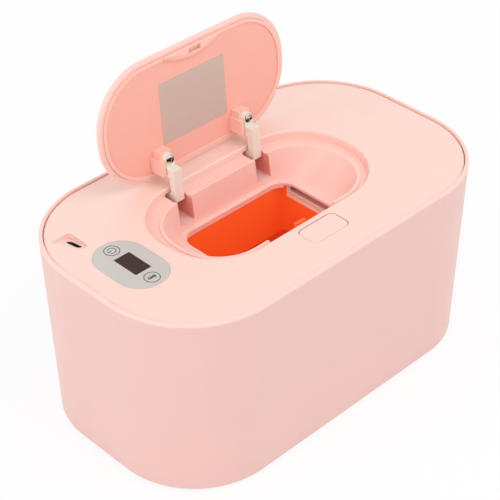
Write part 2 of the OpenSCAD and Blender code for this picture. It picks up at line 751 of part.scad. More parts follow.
module control_panel() color("gainsboro") difference() {
    translate([panel_x, panel_y, 0]) plate(panel_w, panel_l, panel_r, 0, panel_t - 0.05);
    translate([window_x, panel_y, 0]) plate(window_w + 0.1, window_l + 0.1, 0.3, -cut, panel_t + 2 * cut);
}

module display_window() color([0.2, 0.12, 0.12])
    translate([window_x, panel_y, 0]) plate(window_w, window_l, 0.25, 0.05, panel_t + 0.6);

module display_module() color("dimgray")
    translate([window_x, panel_y, 0]) {
        plate(window_w + 2.4, window_l + 2.4, 0.4, face_t + 0.4, board_depth - face_t - 0.5);
        plate(window_w - 1, window_l - 1, 0.3, panel_t + 0.75, face_t - panel_t);
    }

module touch_springs() color(steel)
    for (y = [-1, 1]) translate([window_x, panel_y + y * key_pitch, top_z - board_depth])
        spring(2.4, 0.5, 4, board_depth - panel_t - 0.05);

module control_board() color("seagreen") difference() {
    translate([window_x + 4, panel_y, 0]) plate(34, 42, 3, board_depth, board_t);
    for (y = [-1, 1])
        translate([board_post_x, panel_y + y * board_post_y, top_z - board_depth - board_t - cut])
            cylinder(h = 4, d = 2.4);
}

module board_screws() color(steel)
    for (y = [-1, 1]) translate([board_post_x, panel_y + y * board_post_y, top_z - board_depth - board_t]) {
        cylinder(h = 5, d = 1.6);
        translate([0, 0, -1.2]) cylinder(h = 1.2, d = 4);
    }

module port_shell() color(steel)
    port_turn() translate([0, 0, -port_l - 0.3]) difference() {
        linear_extrude(port_l) round_rect(port_h, port_w, port_h / 2 - 0.02);
        translate([0, 0, 1.2]) linear_extrude(port_l)
            round_rect(port_h - 0.66, port_w - 0.66, port_h / 2 - 0.36);
    }

module port_tongue() color("black")
    port_turn() translate([0, 0, -port_l + 0.9]) linear_extrude(5) square([0.7, 6.7], center = true);

module port_board() color("seagreen")
    port_turn() translate([0, 0, -port_l - 1.6]) linear_extrude(1.2) square([9.6, 14], center = true);

module hinge_pins() color(steel)
    for (x = arm_x) translate([x - slot_left - slot_wall, pin_y, pin_z]) rotate([0, 90, 0])
        cylinder(h = slot_w + 2 * slot_wall, d = pin_d);

// Torsion springs round the pins, beside the arms; one leg rests on the slot's back wall
module hinge_springs() color(steel)
    for (x = arm_x) translate([x - slot_left + 0.1, pin_y, pin_z]) rotate([0, 90, 0])
        spring(1.6, 0.5, 3, 2.5, legs = [6, 2.9]);

module button_spring() color(steel)
    translate([feature_x, spring_y, top_z - spring_seat + 0.05]) spring(2, 0.55, 6, spring_seat - 1.9);

// Drawn as short as a full press makes it, on the lug's side
module latch_spring() color(steel)
    translate([feature_x + 9.4, wing_y - 3.75, top_z - slider_top - slider_t / 2]) rotate([-90, 0, 0])
        spring(0.85, 0.25, 4, 2.65 - latch_travel);

// ---------------------------------------------------------------- button and latch

module release_button() color(face_pink)
    translate([feature_x, button_y, 0]) {
        difference() {
            union() {
                plate(button_l, button_w, button_r, 0.6, button_skirt - 0.6);
                plate(button_l - 1.2, button_w - 1.2, button_r - 0.6, 0, 1);
                around(button_l, button_w, button_r) intersection() {
                    translate([button_r - 0.6, top_z - 0.6]) circle(0.6);
                    translate([button_r - 0.7, top_z - 0.7]) square(1);
                }
            }
            plate(button_l - 3.2, button_w - 3.2, button_r - 1.6, 1.8, button_skirt);
        }
        // Wedge that draws the latch back as the button goes down
        translate([0, wedge_y - button_y, top_z]) rotate([90, 0, 90]) linear_extrude(4, center = true)
            polygon([[wedge_slope * (1.7 - slider_top), -1.7],
                [wedge_slope * (slider_t + 0.4), -slider_top - slider_t - 0.4],
                [1.6, -slider_top - slider_t - 0.4], [1.6, -1.7]]);
    }

module latch_slider() color(ivory) translate([feature_x, 0, top_z]) {
    low = -slider_top - slider_t;
    difference() {
        translate([-slider_w / 2, wedge_y - 1.8, low])
            cube([slider_w, hook_y + hook_t / 2 - wedge_y + 1.8, slider_t]);
        // Window for the wedge, its far edge sloped like the wedge
        translate([0, wedge_y, 0]) rotate([90, 0, 90]) linear_extrude(4.4, center = true)
            polygon([[-wedge_slope - 0.05, -slider_top + 1], [wedge_slope * (slider_t + 1) - 0.05, low - 1],
                [1.6 + latch_travel + 0.3, low - 1], [1.6 + latch_travel + 0.3, -slider_top + 1]]);
    }
    // Wing that the return spring pushes on
    translate([slider_w / 2 - eps, wing_y - 1, low]) cube([8.4 - eps, 1.4, slider_t]);
    // Upright hook with a barb
    translate([-hook_w / 2, hook_y - hook_t / 2, low])
        cube([hook_w, hook_t, slider_top + slider_t - hook_top]);
    translate([0, hook_y + hook_t / 2 - eps, 0]) rotate([90, 0, 90]) linear_extrude(hook_w, center = true)
        polygon([[0, -hook_top], [barb * 0.4, -hook_top], [barb, -hook_top - 0.3],
            [barb, -hook_top - barb_h], [0, -hook_top - barb_h]]);
}

// ---------------------------------------------------------------- lid, drawn shut and swung open

module swing() {
    translate([0, pin_y, pin_z]) rotate([-open_angle, 0, 0]) translate([0, -pin_y, -pin_z]) children();
}

module lid_outer() color(pink) swing() translate([feature_x, recess_y, 0]) difference() {
    union() {
        plate(lid_l - 2 * lid_fillet, lid_w - 2 * lid_fillet, lid_r - lid_fillet, 0, lid_t);
        around(lid_l, lid_w, lid_r) intersection() {
            union() {
                translate([lid_r - lid_fillet, top_z - lid_fillet]) circle(lid_fillet);
                translate([lid_r - lid_fillet, top_z - lid_t + lid_fillet]) circle(lid_fillet);
                translate([lid_r - lid_fillet - 0.1, top_z - lid_t + lid_fillet])
                    square([lid_fillet + 0.1, lid_t - 2 * lid_fillet]);
            }
            translate([lid_r - lid_fillet - eps, top_z - lid_t]) square([lid_fillet + 1, lid_t]);
        }
    }
    plate(lid_l - 2 * lid_rim, lid_w - 2 * lid_rim, lid_r - lid_rim, lid_shell_t, lid_t);
}

module lid_inner() color(lining_pink) swing() difference() {
    union() {
        translate([feature_x, recess_y, 0]) {
            plate(inner_l, inner_w, inner_r, lid_shell_t + 0.05, lid_t - lid_shell_t - 0.05);
            difference() {
                plate(inner_l, inner_w, inner_r, lid_t - 0.1, lip_h + 0.1);
                plate(inner_l - 2 * lip_w, inner_w - 2 * lip_w, inner_r - lip_w, lid_t - cut, 4);
            }
        }
        // Catch: a domed crescent at the free edge
        intersection() {
            radius = (catch_w * catch_w / 4 + catch_sag * catch_sag) / (2 * catch_sag);
            depth = catch_drop - lid_t;
            translate([feature_x, catch_y + catch_sag - radius, top_z - lid_t]) rotate_extrude($fn = 180)
                polygon(concat([[radius - 9, 0.1], [radius, 0.1]],
                    [for (t = [0 : 10 : 90]) [radius - catch_sag * (1 - cos(t)), -depth * sin(t)]],
                        [[radius - 9, -depth]]));
            translate([feature_x - catch_w / 2, lid_front + lid_rim + 0.1, top_z - catch_drop - 1])
                cube([catch_w, 12, catch_drop]);
        }
        // Seats for the hinge arms
        for (x = arm_x) {
            translate([x - 5.1, arm_front - 3.8, top_z - tab_bottom])
                cube([2.3, 7.6, tab_bottom - lid_t + 0.1]);
            translate([x - 3.6, hinge_screw_y - 3.2, top_z - tab_top + 0.02])
                cube([6.6, 9, tab_top - lid_t + 0.1]);
        }
    }
    for (x = arm_x) translate([x, hinge_screw_y, top_z - tab_top - cut]) cylinder(h = 5 + cut, d = 1.7);
    // Slit for the hook, and the hollow behind it that the barb catches in
    slit_front = hook_y - hook_t / 2 - latch_travel - 0.1;
    translate([feature_x - hook_w / 2 - 0.5, slit_front, top_z - catch_drop - cut])
        cube([hook_w + 1, hook_y + hook_t / 2 + 0.15 - slit_front, catch_drop - hook_top + 0.2 + cut]);
    translate([feature_x - hook_w / 2 - 0.5, slit_front, top_z - hook_top - barb_h - 0.1])
        cube([hook_w + 1, hook_y + hook_t / 2 + barb + 0.2 - slit_front, barb_h + 0.3]);
}

module hinge_arms() color(ivory) swing() for (x = arm_x) translate([x, 0, 0]) difference() {
    union() {
        translate([-arm_w / 2, arm_front, top_z - arm_bottom]) cube([arm_w, arm_back - arm_front, arm_t]);
        translate([-arm_w / 2, pin_y - 1.8, top_z - arm_bottom])
            cube([arm_w, arm_back - pin_y + 1.8, arm_bottom - pin_depth]);
        translate([-arm_w / 2, pin_y, pin_z]) rotate([0, 90, 0]) cylinder(h = arm_w, r = arm_boss_r);
        translate([-arm_w / 2, arm_front, top_z - arm_bottom]) cube([arm_w, 4.6, arm_bottom - tab_top]);
        translate([-2.55, hinge_screw_y, top_z - tab_bottom]) cube([5.1, 5, tab_bottom - tab_top]);
        translate([0, hinge_screw_y, top_z - tab_bottom]) cylinder(h = tab_bottom - tab_top, r = 2.75);
    }
    translate([-arm_w / 2 - cut, pin_y, pin_z]) rotate([0, 90, 0])
        cylinder(h = arm_w + 2 * cut, d = pin_d + 2 * pin_fit);
    translate([0, hinge_screw_y, top_z - tab_bottom - cut])
        cylinder(h = tab_bottom - tab_top + 2 * cut, d = 2.2);
}

module hinge_screws() color(steel) swing() for (x = arm_x) translate([x, hinge_screw_y, top_z - tab_bottom]) {
    cylinder(h = tab_bottom - tab_top + 3.6, d = 1.7);
    translate([0, 0, -1.2]) intersection() {
        cylinder(h = 1.2, r = 2.3);
        translate([0, 0, 1.8]) sphere(3);
    }
}

outer_shell();
base_plate();
rubber_feet();
base_screws();
inner_tank();
tank_insulation();
top_cover();
underside_tray();
tray_screws();
cover_gasket();
heater_film();
heat_plate();
temperature_sensor();
thermal_fuse();
heater_leads();
wipe_guide();
control_panel();
display_window();
display_module();
touch_springs();
control_board();
board_screws();
port_shell();
port_tongue();
port_board();
hinge_pins();
hinge_springs();
button_spring();
latch_spring();
release_button();
latch_slider();
lid_outer();
lid_inner();
hinge_arms();
hinge_screws();
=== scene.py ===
"""Looks of a baby wipe warmer with a lift-off heated cover and an open dispensing lid.

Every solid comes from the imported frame; this script dresses them and adds the fine pieces: the panel's
inlays, the screw heads, the bare label plate, the port's contacts and the parts on the circuit boards.
Lengths are metres in the row frame, with +Z up and the button side at -Y.
"""

import logging
import math
from dataclasses import dataclass, field
from enum import Enum
from typing import Sequence

import bmesh
import bpy
from mathutils import Matrix, Vector


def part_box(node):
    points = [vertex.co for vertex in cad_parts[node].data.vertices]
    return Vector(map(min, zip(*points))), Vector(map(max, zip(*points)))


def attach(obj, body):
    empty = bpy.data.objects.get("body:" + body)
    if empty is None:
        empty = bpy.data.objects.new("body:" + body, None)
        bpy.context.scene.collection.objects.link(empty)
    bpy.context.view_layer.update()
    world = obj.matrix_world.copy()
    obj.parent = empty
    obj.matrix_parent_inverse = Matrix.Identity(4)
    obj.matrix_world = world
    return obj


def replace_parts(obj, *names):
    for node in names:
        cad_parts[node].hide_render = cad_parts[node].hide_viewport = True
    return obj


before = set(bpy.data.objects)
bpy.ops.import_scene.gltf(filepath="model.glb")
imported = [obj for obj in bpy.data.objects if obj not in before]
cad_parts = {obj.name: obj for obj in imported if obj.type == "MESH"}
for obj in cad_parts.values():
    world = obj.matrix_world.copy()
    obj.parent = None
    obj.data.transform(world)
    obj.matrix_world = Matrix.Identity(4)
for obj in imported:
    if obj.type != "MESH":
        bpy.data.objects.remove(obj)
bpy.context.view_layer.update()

LOG = logging.getLogger("wipe_warmer")

MM = 0.001
Colour = tuple[float, float, float]


def middle(node: str) -> Vector:
    """Middle of a node's box at rest."""
    low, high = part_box(node)
    return (Vector(low) + Vector(high)) / 2


# The cover's upper face, the middle of its recess and the lid's hinge, as the frame has them.
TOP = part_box("top_cover")[1][2]
FEATURE_X = middle("release_button").x
HINGE = Vector((0.0, middle("hinge_pins").y, middle("hinge_pins").z))

# The lid: how far it stands open, its arms, its middle when shut and the depth of its inner face.
OPEN_ANGLE = math.radians(94)
TAB_RADIUS = 2.75 * MM
ARM_X = (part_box("hinge_arms")[0][0] + TAB_RADIUS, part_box("hinge_arms")[1][0] - TAB_RADIUS)
LID_Y = HINGE.y - 37.45 * MM
LINING_DEPTH = 2.6 * MM

# Bounds of the tinted regions: the cover's recess, which takes painted reflected light, the wipe guide's
# ends, and the slots of the lid's arms, which take painted shade.
RECESS_HALF = (60 * MM, 45 * MM)
GUIDE_END = 36.0 * MM
SLOT_SIDES = (5.4 * MM, 3.7 * MM)
SLOT_REACH = 20.0 * MM
SLOT_DEPTHS = (4.8 * MM, 15.9 * MM)

# Textures: cells and waves per metre, shares of the roughness, and the levels where a colour begins, the
# chrome's painted reflection among them.
CLOUD_CELLS = 55.0
WEAR_CELLS = 240.0
WEAR_SPREAD = 0.1
STREAK_CELLS = (60.0, 3000.0, 3000.0)
STREAK_SPREAD = 0.16
TRACE_WAVES = (2600.0, 410.0)
TRACE_BEND = 2.0
TRACE_LEVEL = 0.86
TRACK_WAVES = 900.0
TRACK_LEVEL = 0.45
REFLECTION_LEVELS = (0.41, 0.53)
SCREEN_WAVES = 5200.0
SCREEN_LEVEL = 0.5
BUMP_STRENGTH = 0.6
COAT_ROUGHNESS = 0.18

# Meshes: segments of a full turn, and the angles from which an edge is bevelled and is drawn sharp.
SPIN_STEPS = 64
BEVEL_ANGLE = math.radians(40)
SHARP_ANGLE = math.radians(35)


def srgb(red: int, green: int, blue: int) -> Colour:
    """Turns a display colour into the linear values that shaders take.

    Args:
        red: Red, 0 to 255.
        green: Green, 0 to 255.
        blue: Blue, 0 to 255.

    Returns:
        The linear colour.
    """

    def linear(value: int) -> float:
        """Linear value of one channel."""
        part = value / 255
        return part / 12.92 if part <= 0.04045 else ((part + 0.055) / 1.055) ** 2.4

    return linear(red), linear(green), linear(blue)


def scaled(colour: Colour, amount: float) -> Colour:
    """The colour made lighter or darker by a factor."""
    return tuple(min(1.0, channel * amount) for channel in colour)


# ------------------------------------------------------------------ shaders


class Wire:
    """A shader socket that takes part in arithmetic."""

    def __init__(self, graph: "Graph", socket: bpy.types.NodeSocket) -> None:
        """Keeps the graph and the socket.

        Args:
            graph: The graph that holds the socket.
            socket: An output socket.
        """
        self.graph = graph
        self.socket = socket

    def _math(self, operation: str, first: "Wire | float", second: "Wire | float | None" = None) -> "Wire":
        """Adds a Math node.

        Args:
            operation: The node's operation.
            first: Its first value.
            second: Its second value, if it has one.

        Returns:
            The node's output.
        """
        values = [first] if second is None else [first, second]
        return self.graph.add("ShaderNodeMath", dict(enumerate(values)), operation=operation)

    def __add__(self, other: "Wire | float") -> "Wire":
        """Sum."""
        return self._math("ADD", self, other)

    def __radd__(self, other: float) -> "Wire":
        """Sum with a constant on the left."""
        return self._math("ADD", other, self)

    def __sub__(self, other: "Wire | float") -> "Wire":
        """Difference."""
        return self._math("SUBTRACT", self, other)

    def __rsub__(self, other: float) -> "Wire":
        """Difference from a constant."""
        return self._math("SUBTRACT", other, self)

    def __mul__(self, other: "Wire | float") -> "Wire":
        """Product."""
        return self._math("MULTIPLY", self, other)

    def __rmul__(self, other: float) -> "Wire":
        """Product with a constant on the left."""
        return self._math("MULTIPLY", other, self)

    def __gt__(self, other: "Wire | float") -> "Wire":
        """1 where this is greater."""
        return self._math("GREATER_THAN", self, other)

    def __lt__(self, other: "Wire | float") -> "Wire":
        """1 where this is less."""
        return self._math("LESS_THAN", self, other)

    def wave(self) -> "Wire":
        """Sine."""
        return self._math("SINE", self)

    def size(self) -> "Wire":
        """Absolute value."""
        return self._math("ABSOLUTE", self)

    def ramp(self, start: float, end: float) -> "Wire":
        """A straight rise from 0 to 1.

        Args:
            start: Value at and below which it gives 0.
            end: Value at and above which it gives 1.

        Returns:
            The share, 0 to 1.
        """
        return self.graph.add("ShaderNodeMapRange", {"Value": self, "From Min": start, "From Max": end})


class Graph:
    """The node tree of one material, emptied and built anew."""

    def __init__(self, material: bpy.types.Material) -> None:
        """Clears the material's nodes.

        Args:
            material: The material to fill.
        """
        material.use_nodes = True
        self.tree = material.node_tree
        self.tree.nodes.clear()

    def add(self, kind: str, inputs: dict[int | str, object] | None = None, out: int | str = 0,
            **settings: object) -> Wire:
        """Adds a node of any kind.

        Args:
            kind: The node's type name.
            inputs: Socket name or index to a constant or a wire.
            out: The output to return.
            **settings: Attributes set on the node.

        Returns:
            The chosen output.
        """
        node = self.tree.nodes.new(kind)
        for name, value in settings.items():
            setattr(node, name, value)
        for key, value in (inputs or {}).items():
            if isinstance(value, Wire):
                self.tree.links.new(value.socket, node.inputs[key])
            else:
                node.inputs[key].default_value = value
        return Wire(self, node.outputs[out]) if node.outputs else Wire(self, None)

    def place(self) -> Wire:
        """Object coordinates."""
        return self.add("ShaderNodeTexCoord", out="Object")

    def axis(self, place: Wire, name: str) -> Wire:
        """One coordinate of a place."""
        return self.add("ShaderNodeSeparateXYZ", {0: place}, out=name)

    def stretch(self, place: Wire, scale: Sequence[float]) -> Wire:
        """A place with its axes scaled.

        Args:
            place: Coordinates.
            scale: Factors along X, Y and Z.

        Returns:
            The scaled coordinates.
        """
        return self.add("ShaderNodeMapping", {"Vector": place, "Scale": tuple(scale)})

    def noise(self, place: Wire, scale: float, detail: float = 3.0) -> Wire:
        """Noise from 0 to 1.

        Args:
            place: Coordinates.
            scale: Cells per metre.
            detail: Octaves.

        Returns:
            The noise value.
        """
        inputs = {"Vector": place, "Scale": scale, "Detail": detail}
        return self.add("ShaderNodeTexNoise", inputs, out="Fac")

    def between(self, share: Wire, low: "Colour | Wire", high: "Colour | Wire") -> Wire:
        """Mixes two colours.

        Args:
            share: 0 gives the first colour and 1 the second.
            low: The first colour.
            high: The second colour.

        Returns:
            The mixed colour.
        """
        ends = [end if isinstance(end, Wire) else (*end, 1.0) for end in (low, high)]
        inputs = {"Factor": share, 6: ends[0], 7: ends[1]}
        return self.add("ShaderNodeMix", inputs, out=2, data_type="RGBA")


class Pattern(Enum):
    """What varies over a finish."""

    MOULDED = "moulded"
    BRUSHED = "brushed"
    BOARD = "board"
    TRACK = "track"
    RECESS_BOUNCE_SLOT_SHADE = "sunk"
    RIM_HIGHLIGHT = "rim"
    RAIL = "rail"
    RAISED_LIGHT = "scoop"
    PAINTED_REFLECTION = "polished"
    FOAM = "foam"
    GLASS = "glass"


@dataclass(frozen=True)
class Finish:
    """One surface finish.

    Attributes:
        name: Name of the material.
        colour: Linear base colour.
        rough: Mean roughness.
        metal: Metallic value.
        coat: Weight of the clear coat.
        mottle: How much the colour varies.
        grain: Height of the fine texture, in metres.
        grain_scale: Cells of the fine texture per metre.
        accent: Second colour of a pattern.
        pattern: What varies over the surface.
        painted_glow: Strength of the painted light that the surface gives off, a glow that lifts the shade
            inside.
        band: Heights or depths from the cover's face that bound the accent, in metres.
    """

    name: str
    colour: Colour
    rough: float = 0.4
    metal: float = 0.0
    coat: float = 0.0
    mottle: float = 0.025
    grain: float = 6e-6
    grain_scale: float = 1400.0
    accent: Colour = (0.5, 0.5, 0.5)
    pattern: Pattern = Pattern.MOULDED
    painted_glow: float = 0.0
    band: tuple[float, float] = (0.0012, 0.004)

    def material(self) -> bpy.types.Material:
        """Builds the material, or returns it if it exists.

        Returns:
            The material.
        """
        made = bpy.data.materials.get(self.name)
        if made and made.get("dressed"):
            return made
        made = bpy.data.materials.new(self.name)
        made["dressed"] = True
        graph = Graph(made)
        colour, rough, height = self._surface(graph, graph.place())
        inputs = {"Height": height, "Distance": self.grain, "Strength": BUMP_STRENGTH}
        bump = graph.add("ShaderNodeBump", inputs)
        inputs = {
            "Base Color": colour,
            "Roughness": rough,
            "Metallic": self.metal,
            "Coat Weight": self.coat,
            "Coat Roughness": COAT_ROUGHNESS,
            "Normal": bump,
            "Emission Color": colour,
            "Emission Strength": self.painted_glow,
        }
        shader = graph.add("ShaderNodeBsdfPrincipled", inputs)
        graph.add("ShaderNodeOutputMaterial", {"Surface": shader})
        return made

    def _surface(self, graph: Graph, place: Wire) -> tuple[Wire, Wire, Wire]:
        """Builds the nodes of the pattern.

        Args:
            graph: The material's graph.
            place: Object coordinates.

        Returns:
            The colour, the roughness and the height of the fine texture.
        """
        light, dark = scaled(self.colour, 1 + self.mottle), scaled(self.colour, 1 - self.mottle)
        cloud = graph.noise(place, CLOUD_CELLS)
        fine = graph.noise(place, self.grain_scale, 2.0)
        rough = self.rough - WEAR_SPREAD / 2 + WEAR_SPREAD * graph.noise(place, WEAR_CELLS)
        if self.pattern is Pattern.BRUSHED:
            streak = graph.noise(graph.stretch(place, STREAK_CELLS), 1.0, 2.0)
            streaked = self.rough - STREAK_SPREAD / 2 + STREAK_SPREAD * streak
            return graph.between(streak, dark, light), streaked, streak
        if self.pattern is Pattern.FOAM:
            inputs = {"Vector": place, "Scale": self.grain_scale}
            cells = graph.add("ShaderNodeTexVoronoi", inputs, out="Distance")
            return graph.between(cells, dark, light), rough, cells
        if self.pattern is Pattern.BOARD:
            bend = TRACE_BEND * (graph.axis(place, "Y") * TRACE_WAVES[1]).wave()
            trace = (graph.axis(place, "X") * TRACE_WAVES[0] + bend).wave() > TRACE_LEVEL
            return graph.between(trace, dark, self.accent), rough, trace
        if self.pattern is Pattern.TRACK:
            track = (graph.axis(place, "X") * TRACK_WAVES).wave().size() < TRACK_LEVEL
            return graph.between(track, self.colour, self.accent), rough, track
        # Painted reflection: dark patches of the accent stand in for what the chrome mirrors.
        if self.pattern is Pattern.PAINTED_REFLECTION:
            share = graph.noise(place, self.grain_scale, 1.0).ramp(*REFLECTION_LEVELS)
            return graph.between(share, self.accent, self.colour), rough, cloud
        if self.pattern is Pattern.GLASS:
            rows, columns = ((graph.axis(place, name) * SCREEN_WAVES).wave() for name in ("Y", "X"))
            return graph.between(rows * columns > SCREEN_LEVEL, self.colour, self.accent), rough, cloud
        return self._tinted(graph, place, graph.between(cloud, dark, light)), rough, fine

    def _tinted(self, graph: Graph, place: Wire, colour: Wire) -> Wire:
        """Tints the part of a moulded surface that lies apart from the rest.

        Args:
            graph: The material's graph.
            place: Object coordinates.
            colour: The colour of the rest.

        Returns:
            The colour.
        """
        # Painted light and shade: a pinker tint in the recess stands in for light reflected from the lid
        # and the orange inside, and the slots' walls are darkened.
        if self.pattern is Pattern.RECESS_BOUNCE_SLOT_SHADE:
            tinted = graph.between(self._recess_bounce(graph, place), colour, self.accent)
            return graph.between(self._slot_shade(graph, place), tinted, SLOT_SHADE)
        # Painted highlight: the shell grows lighter towards the top of its rim.
        if self.pattern is Pattern.RIM_HIGHLIGHT:
            share = (graph.axis(place, "Z") - TOP).ramp(*self.band)
            return graph.between(share, colour, self.accent)
        if self.pattern is Pattern.RAIL:
            depth = TOP - graph.axis(place, "Z")
            ends = (graph.axis(place, "X") - FEATURE_X).size() > GUIDE_END
            share = (depth > self.band[0]) * (depth < self.band[1]) * ends
            return graph.between(share, colour, self.accent)
        # Painted light: the parts that stand out of the lid's inner face are made lighter.
        if self.pattern is Pattern.RAISED_LIGHT:
            back, rise = graph.axis(place, "Y") - HINGE.y, graph.axis(place, "Z") - HINGE.z
            shut = math.sin(OPEN_ANGLE) * back + math.cos(OPEN_ANGLE) * rise
            share = (TOP - LINING_DEPTH - HINGE.z - shut).ramp(*self.band)
            return graph.between(share, colour, self.accent)
        return colour

    def _recess_bounce(self, graph: Graph, place: Wire) -> Wire:
        """Share of the accent in the cover's recess.

        Args:
            graph: The material's graph.
            place: Object coordinates.

        Returns:
            The share, 0 to 1.
        """
        # Painted reflected light: the recess below the face takes the pinker accent.
        across = (graph.axis(place, "X") - FEATURE_X).size() < RECESS_HALF[0]
        along = graph.axis(place, "Y").size() < RECESS_HALF[1]
        depth = TOP - graph.axis(place, "Z")
        return depth.ramp(*self.band) * across * along

    def _slot_shade(self, graph: Graph, place: Wire) -> Wire:
        """Finds the walls of the slots that the lid's arms swing through.

        Args:
            graph: The material's graph.
            place: Object coordinates.

        Returns:
            1 on those walls and 0 elsewhere.
        """
        # Painted shade: the walls of the slots that the arms swing through are darkened.
        side, back = graph.axis(place, "X"), graph.axis(place, "Y")
        depth = TOP - graph.axis(place, "Z")
        left, right = ((side > arm - SLOT_SIDES[0]) * (side < arm + SLOT_SIDES[1]) for arm in ARM_X)
        length = (back > HINGE.y - SLOT_REACH) * (back < HINGE.y)
        return (left + right) * length * (depth > SLOT_DEPTHS[0]) * (depth < SLOT_DEPTHS[1])


# One pink plastic in two copies: the upright sides and the base carry painted shade, and the upward faces
# carry painted light.
SHADED_SIDE_TINT = srgb(238, 196, 190)
LIT_FACE_TINT = srgb(252, 217, 206)
# Painted shade on the slots' walls, a darker red-pink.
SLOT_SHADE = srgb(242, 160, 146)
ORANGE_TINT = srgb(245, 106, 44)
# Painted light: the orange parts glow, though they are no lamp, to lift the shade inside the tank and the
# wipe guide.
ORANGE_PAINTED_GLOW = 0.17

# The shell's accent is a painted highlight along the top of its rim.
PINK_SHADED_SIDE = Finish("pink_shell", SHADED_SIDE_TINT, rough=0.42, coat=0.12, accent=srgb(253, 214, 204),
                   pattern=Pattern.RIM_HIGHLIGHT, band=(-0.0012, 0.0002))
PINK_BASE = Finish("pink_base", SHADED_SIDE_TINT, rough=0.42)
PINK_LIT_FACE = Finish("pink_face", LIT_FACE_TINT, rough=0.4, coat=0.12)
# The cover's accent is painted reflected light, a pinker tint in its recess.
PINK_COVER = Finish("pink_cover", LIT_FACE_TINT, rough=0.4, coat=0.12, accent=srgb(254, 211, 201),
                    pattern=Pattern.RECESS_BOUNCE_SLOT_SHADE)
PINK_LID = Finish("pink_lid", srgb(250, 209, 200), rough=0.4, coat=0.12)
# The lining's accent is painted light on the parts that stand out of its face.
LINING = Finish("salmon_lining", srgb(253, 188, 173), rough=0.5, accent=srgb(254, 204, 190),
                pattern=Pattern.RAISED_LIGHT, band=(0.00005, 0.0004))
ORANGE = Finish("orange_tank", ORANGE_TINT, rough=0.5, painted_glow=ORANGE_PAINTED_GLOW)
GUIDE = Finish("orange_guide", ORANGE_TINT, rough=0.5, painted_glow=ORANGE_PAINTED_GLOW, accent=srgb(236, 203, 188),
               pattern=Pattern.RAIL, band=(0.0215, 0.0292))
IVORY = Finish("ivory_arms", srgb(244, 238, 226), rough=0.45)
PALE = Finish("pale_inner", srgb(240, 205, 192), rough=0.55)
GREY_PANEL = Finish("grey_panel", srgb(201, 200, 195), rough=0.3, coat=0.3)
INK = Finish("grey_ink", srgb(52, 43, 43), rough=0.5)
SCREEN = Finish("dark_screen", srgb(26, 11, 12), rough=0.38, accent=srgb(33, 16, 17), pattern=Pattern.GLASS)
LABEL = Finish("bare_label", srgb(208, 187, 177), rough=0.45, mottle=0.015)
# The chrome's dark accent is a painted reflection.
CHROME = Finish("chrome_head", srgb(222, 214, 208), rough=0.14, metal=1.0, accent=srgb(52, 42, 40),
                grain_scale=900.0, pattern=Pattern.PAINTED_REFLECTION)
STEEL = Finish("steel", srgb(190, 190, 194), rough=0.3, metal=1.0, pattern=Pattern.BRUSHED)
DARK_STEEL = Finish("dark_steel", srgb(88, 84, 82), rough=0.4, metal=1.0, pattern=Pattern.BRUSHED)
ALUMINIUM = Finish("aluminium", srgb(206, 207, 210), rough=0.38, metal=1.0, pattern=Pattern.BRUSHED)
GOLD = Finish("gold_contact", srgb(222, 178, 92), rough=0.28, metal=1.0)
RUBBER = Finish("foot_rubber", srgb(92, 88, 88), rough=0.8, grain=2e-5, grain_scale=2600.0)
SILICONE = Finish("pale_seal", srgb(238, 232, 226), rough=0.6)
FOAM = Finish("white_foam", srgb(240, 240, 238), rough=0.95, grain=1.5e-4, grain_scale=700.0,
              pattern=Pattern.FOAM)
BOARD = Finish("green_board", srgb(36, 104, 66), rough=0.4, accent=srgb(70, 138, 88), pattern=Pattern.BOARD)
FILM = Finish("amber_film", srgb(196, 128, 40), rough=0.35, accent=srgb(120, 74, 36), pattern=Pattern.TRACK)
BLACK = Finish("black_resin", srgb(34, 34, 36), rough=0.5)
CERAMIC = Finish("white_ceramic", srgb(234, 230, 222), rough=0.55)
RED_WIRE = Finish("red_wire", srgb(176, 40, 34), rough=0.5)

CAD_FINISHES: dict[Finish, tuple[str, ...]] = {
    PINK_SHADED_SIDE: ("outer_shell",),
    PINK_BASE: ("base_plate",),
    PINK_COVER: ("top_cover",),
    PINK_LIT_FACE: ("release_button",),
    PINK_LID: ("lid_outer",),
    LINING: ("lid_inner",),
    ORANGE: ("inner_tank", "latch_slider"),
    GUIDE: ("wipe_guide",),
    IVORY: ("hinge_arms",),
    PALE: ("underside_tray",),
    GREY_PANEL: ("control_panel",),
    SCREEN: ("display_window",),
    STEEL: ("hinge_pins", "hinge_springs", "button_spring", "latch_spring", "touch_springs",
            "board_screws"),
    DARK_STEEL: ("port_shell",),
    ALUMINIUM: ("heat_plate",),
    RUBBER: ("rubber_feet",),
    SILICONE: ("cover_gasket",),
    FOAM: ("tank_insulation",),
    BOARD: ("control_board", "port_board"),
    FILM: ("heater_film",),
    BLACK: ("temperature_sensor", "port_tongue", "display_module"),
    CERAMIC: ("thermal_fuse",),
    RED_WIRE: ("heater_leads",),
}


# ------------------------------------------------------------------ meshes


